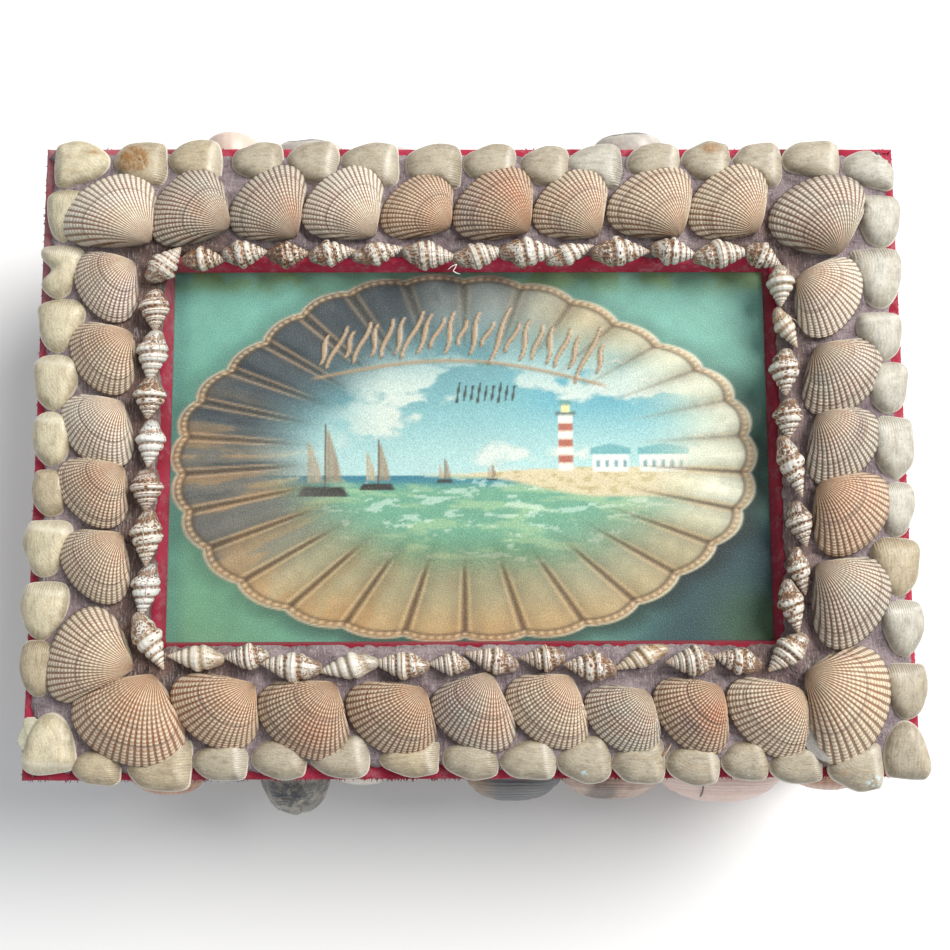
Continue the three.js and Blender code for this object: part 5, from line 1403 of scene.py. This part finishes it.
def wall_rows(side, run):
    b = Build()
    for i, row in enumerate(UPPER[side]):
        valve_build(b, side, i, row, run)
    b.make(f"wall_shells_upper_{side}_valves", VALVE_MAT, [f"wall_shells_upper_{side}"])
    b = Build()
    n = LOWER["count"][side]
    pitch = (run - LOWER["w"] + 0.6) / (n - 1)
    for i in range(n):
        s = (i - (n - 1) / 2) * pitch
        seed = 500 + SIDES.index(side) * 20 + i
        rng = np.random.default_rng(seed)
        length = 15.4 + rng.uniform(-0.5, 0.4)
        row = (0, 0, 0, length, 56 + rng.uniform(-3, 3), rng.uniform(-0.10, 0.10))
        p, ribg, t, f, _ = ark_points(row, seed, ribs=20, per=3, tilt=2.0, rows=15, high=1.55, relief=0.24)
        tint = ARK_TINTS[SIDES[i % 4]][(i * 3 + SIDES.index(side)) % len(ARK_TINTS[SIDES[i % 4]])]
        hi, lo = ark_colours(tint, [], t, f, length, even=0.9)
        v, q, tri, at = ark_close(p, {"ribg": ribg, "c_hi": hi, "c_lo": lo}, -0.9)
        a = math.radians(rng.uniform(-9, 9))
        u, w = v[:, 0] * math.cos(a) - v[:, 1] * math.sin(a), v[:, 0] * math.sin(a) + v[:, 1] * math.cos(a)
        pts = on_wall(side, s + w, 2.5 + np.minimum(v[:, 2], 6.2), LOWER["z"] + 7.7 - u)
        pts[:, 2] = np.maximum(pts[:, 2], 0.9)
        b.add(pts, q, tri, seed=float(seed), **at)
    b.make(f"wall_shells_lower_{side}_cockles", LOWER_MAT, [f"wall_shells_lower_{side}"])


for side, run in (("front", TRAY_W), ("back", TRAY_W), ("left", TRAY_D), ("right", TRAY_D)):
    wall_putty(side, run)
    wall_rows(side, run)

# ------------------------------------------------------------------ shards, fibre, fringe
def loose_bits():
    b = Build()
    shard(b, [(-96.2, -61.6), (-95.7, -59.6), (-95.2, -58.4), (-94.9, -56.7), (-93.2, -56.4), (-91.6, -57.6), (-91.9, -60.6), (-93.0, -64.2), (-94.1, -65.4), (-95.0, -63.2)],
          SHELL_Z + 0.35, 0.5, "D9D6BE", "B5AD8E", 0.35, 801)
    shard(b, [(70.3, -57.2), (71.9, -57.6), (72.9, -61.0), (75.3, -63.6), (75.1, -65.5), (73.9, -66.2), (70.9, -64.1), (69.8, -61.6)],
          SHELL_Z + 2.5, 0.45, "AFAAA4", "938C86", 0.3, 802)
    bow = lambda p, q, z, sag, n=14: [(p[0] + (q[0] - p[0]) * t, p[1] + (q[1] - p[1]) * t + sag * math.sin(t * math.pi), z + 0.25 * math.sin(t * 5)) for t in np.linspace(0, 1, n)]
    zig = np.array([(-5.2, 39.7, 65.9), (-4.2, 40.5, 66.1), (-3.2, 40.9, 66.2), (-3.5, 40.2, 66.0), (-4.0, 39.5, 65.8), (-3.3, 39.1, 65.6), (-2.4, 38.9, 65.3)])
    at = np.linspace(0, 6, 30)
    tube(b, np.stack([np.interp(at, np.arange(7), zig[:, k]) for k in range(3)], 1), 0.11, "F4F1EA", "D8D2C8", 803)
    tube(b, bow((39.9, -64.9), (42.0, -62.4), 62.9, -0.4), 0.22, "B99C78", "7A5E44", 804)
    tube(b, bow((70.6, 29.5), (72.4, 28.2), 62.6, 0.3), 0.16, "CFC6B8", "8E8276", 805)
    b.make("loose_shards_and_fibres", VALVE_MAT)
    # a fringe of torn red nap along the lid's lower edges
    b = Build()
    rng = np.random.default_rng(77)
    runs = (("front", 420), ("back", 120), ("left", 110), ("right", 150))
    for side, count in runs:
        for _ in range(count):
            span, out = (LID_W, LID_D / 2) if side in ("front", "back") else (LID_D, LID_W / 2)
            s, size = rng.uniform(-span / 2 + 0.5, span / 2 - 0.5), rng.uniform(0.25, 0.85) * (1.0 if side == "front" else 0.6)
            z, lean, wide = rng.uniform(58.2, 59.6), rng.uniform(-0.5, 0.5), rng.uniform(0.10, 0.22)
            base = np.array([[s - wide, out - 0.35, z], [s + wide, out - 0.35, z], [s, out - 0.35, z - 2 * wide]])
            tipp = np.array([[s + lean, out + size * 0.8, z + rng.uniform(-0.5, 0.1)]])
            pts = np.concatenate([base, tipp])
            if side == "front":
                pts = np.stack([pts[:, 0], -pts[:, 1], pts[:, 2]], 1)
            elif side == "back":
                pts = np.stack([-pts[:, 0], pts[:, 1], pts[:, 2]], 1)
            elif side == "right":
                pts = np.stack([pts[:, 1], pts[:, 0], pts[:, 2]], 1)
            else:
                pts = np.stack([-pts[:, 1], -pts[:, 0], pts[:, 2]], 1)
            b.add(pts, None, [[0, 1, 2], [0, 3, 1], [1, 3, 2], [2, 3, 0]])
    b.make("lid_edge_nap_torn", RED_MAT)


loose_bits()

# ------------------------------------------------------------------ stage, light, camera
bpy.ops.mesh.primitive_plane_add(size=6.0, location=(0, 0, 0))
floor = bpy.context.object
floor.name = "floor"
floor.data.materials.append(floor_material())
floor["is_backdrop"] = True

world = bpy.data.worlds.new("studio")
scene.world = world
world.use_nodes = True
world.node_tree.nodes["Background"].inputs[0].default_value = (0.93, 0.96, 1.0, 1)
world.node_tree.nodes["Background"].inputs[1].default_value = 0.52


def area(name, place, size, power, colour=(1, 1, 1)):
    data = bpy.data.lights.new(name, "AREA")
    data.shape, data.size, data.energy, data.color = "DISK", size, power, colour
    ob = bpy.data.objects.new(name, data)
    scene.collection.objects.link(ob)
    ob.location = place
    ob.rotation_euler = (Vector((0, 0, 0.05)) - Vector(place)).to_track_quat("-Z", "Y").to_euler()
    return ob


area("window_light", (0.96, 0.62, 1.20), 1.10, 35.0, (1.0, 0.98, 0.95))

cam_data = bpy.data.cameras.new("camera")
cam_data.sensor_width = 36.0
cam_data.lens = 36.0 * 1200 / 950
cam_data.clip_start, cam_data.clip_end = 0.01, 20
cam = bpy.data.objects.new("camera", cam_data)
scene.collection.objects.link(cam)
cam.location = (-0.001715, -0.036318, 0.321068)
cam.rotation_euler = Euler([math.radians(v) for v in (6.8916, -0.5047, -0.2060)], "XYZ")
scene.camera = cam
scene.view_settings.view_transform = "Standard"

print("triangles", sum(COUNT.values()), "largest", max(COUNT.values()))
lo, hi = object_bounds()
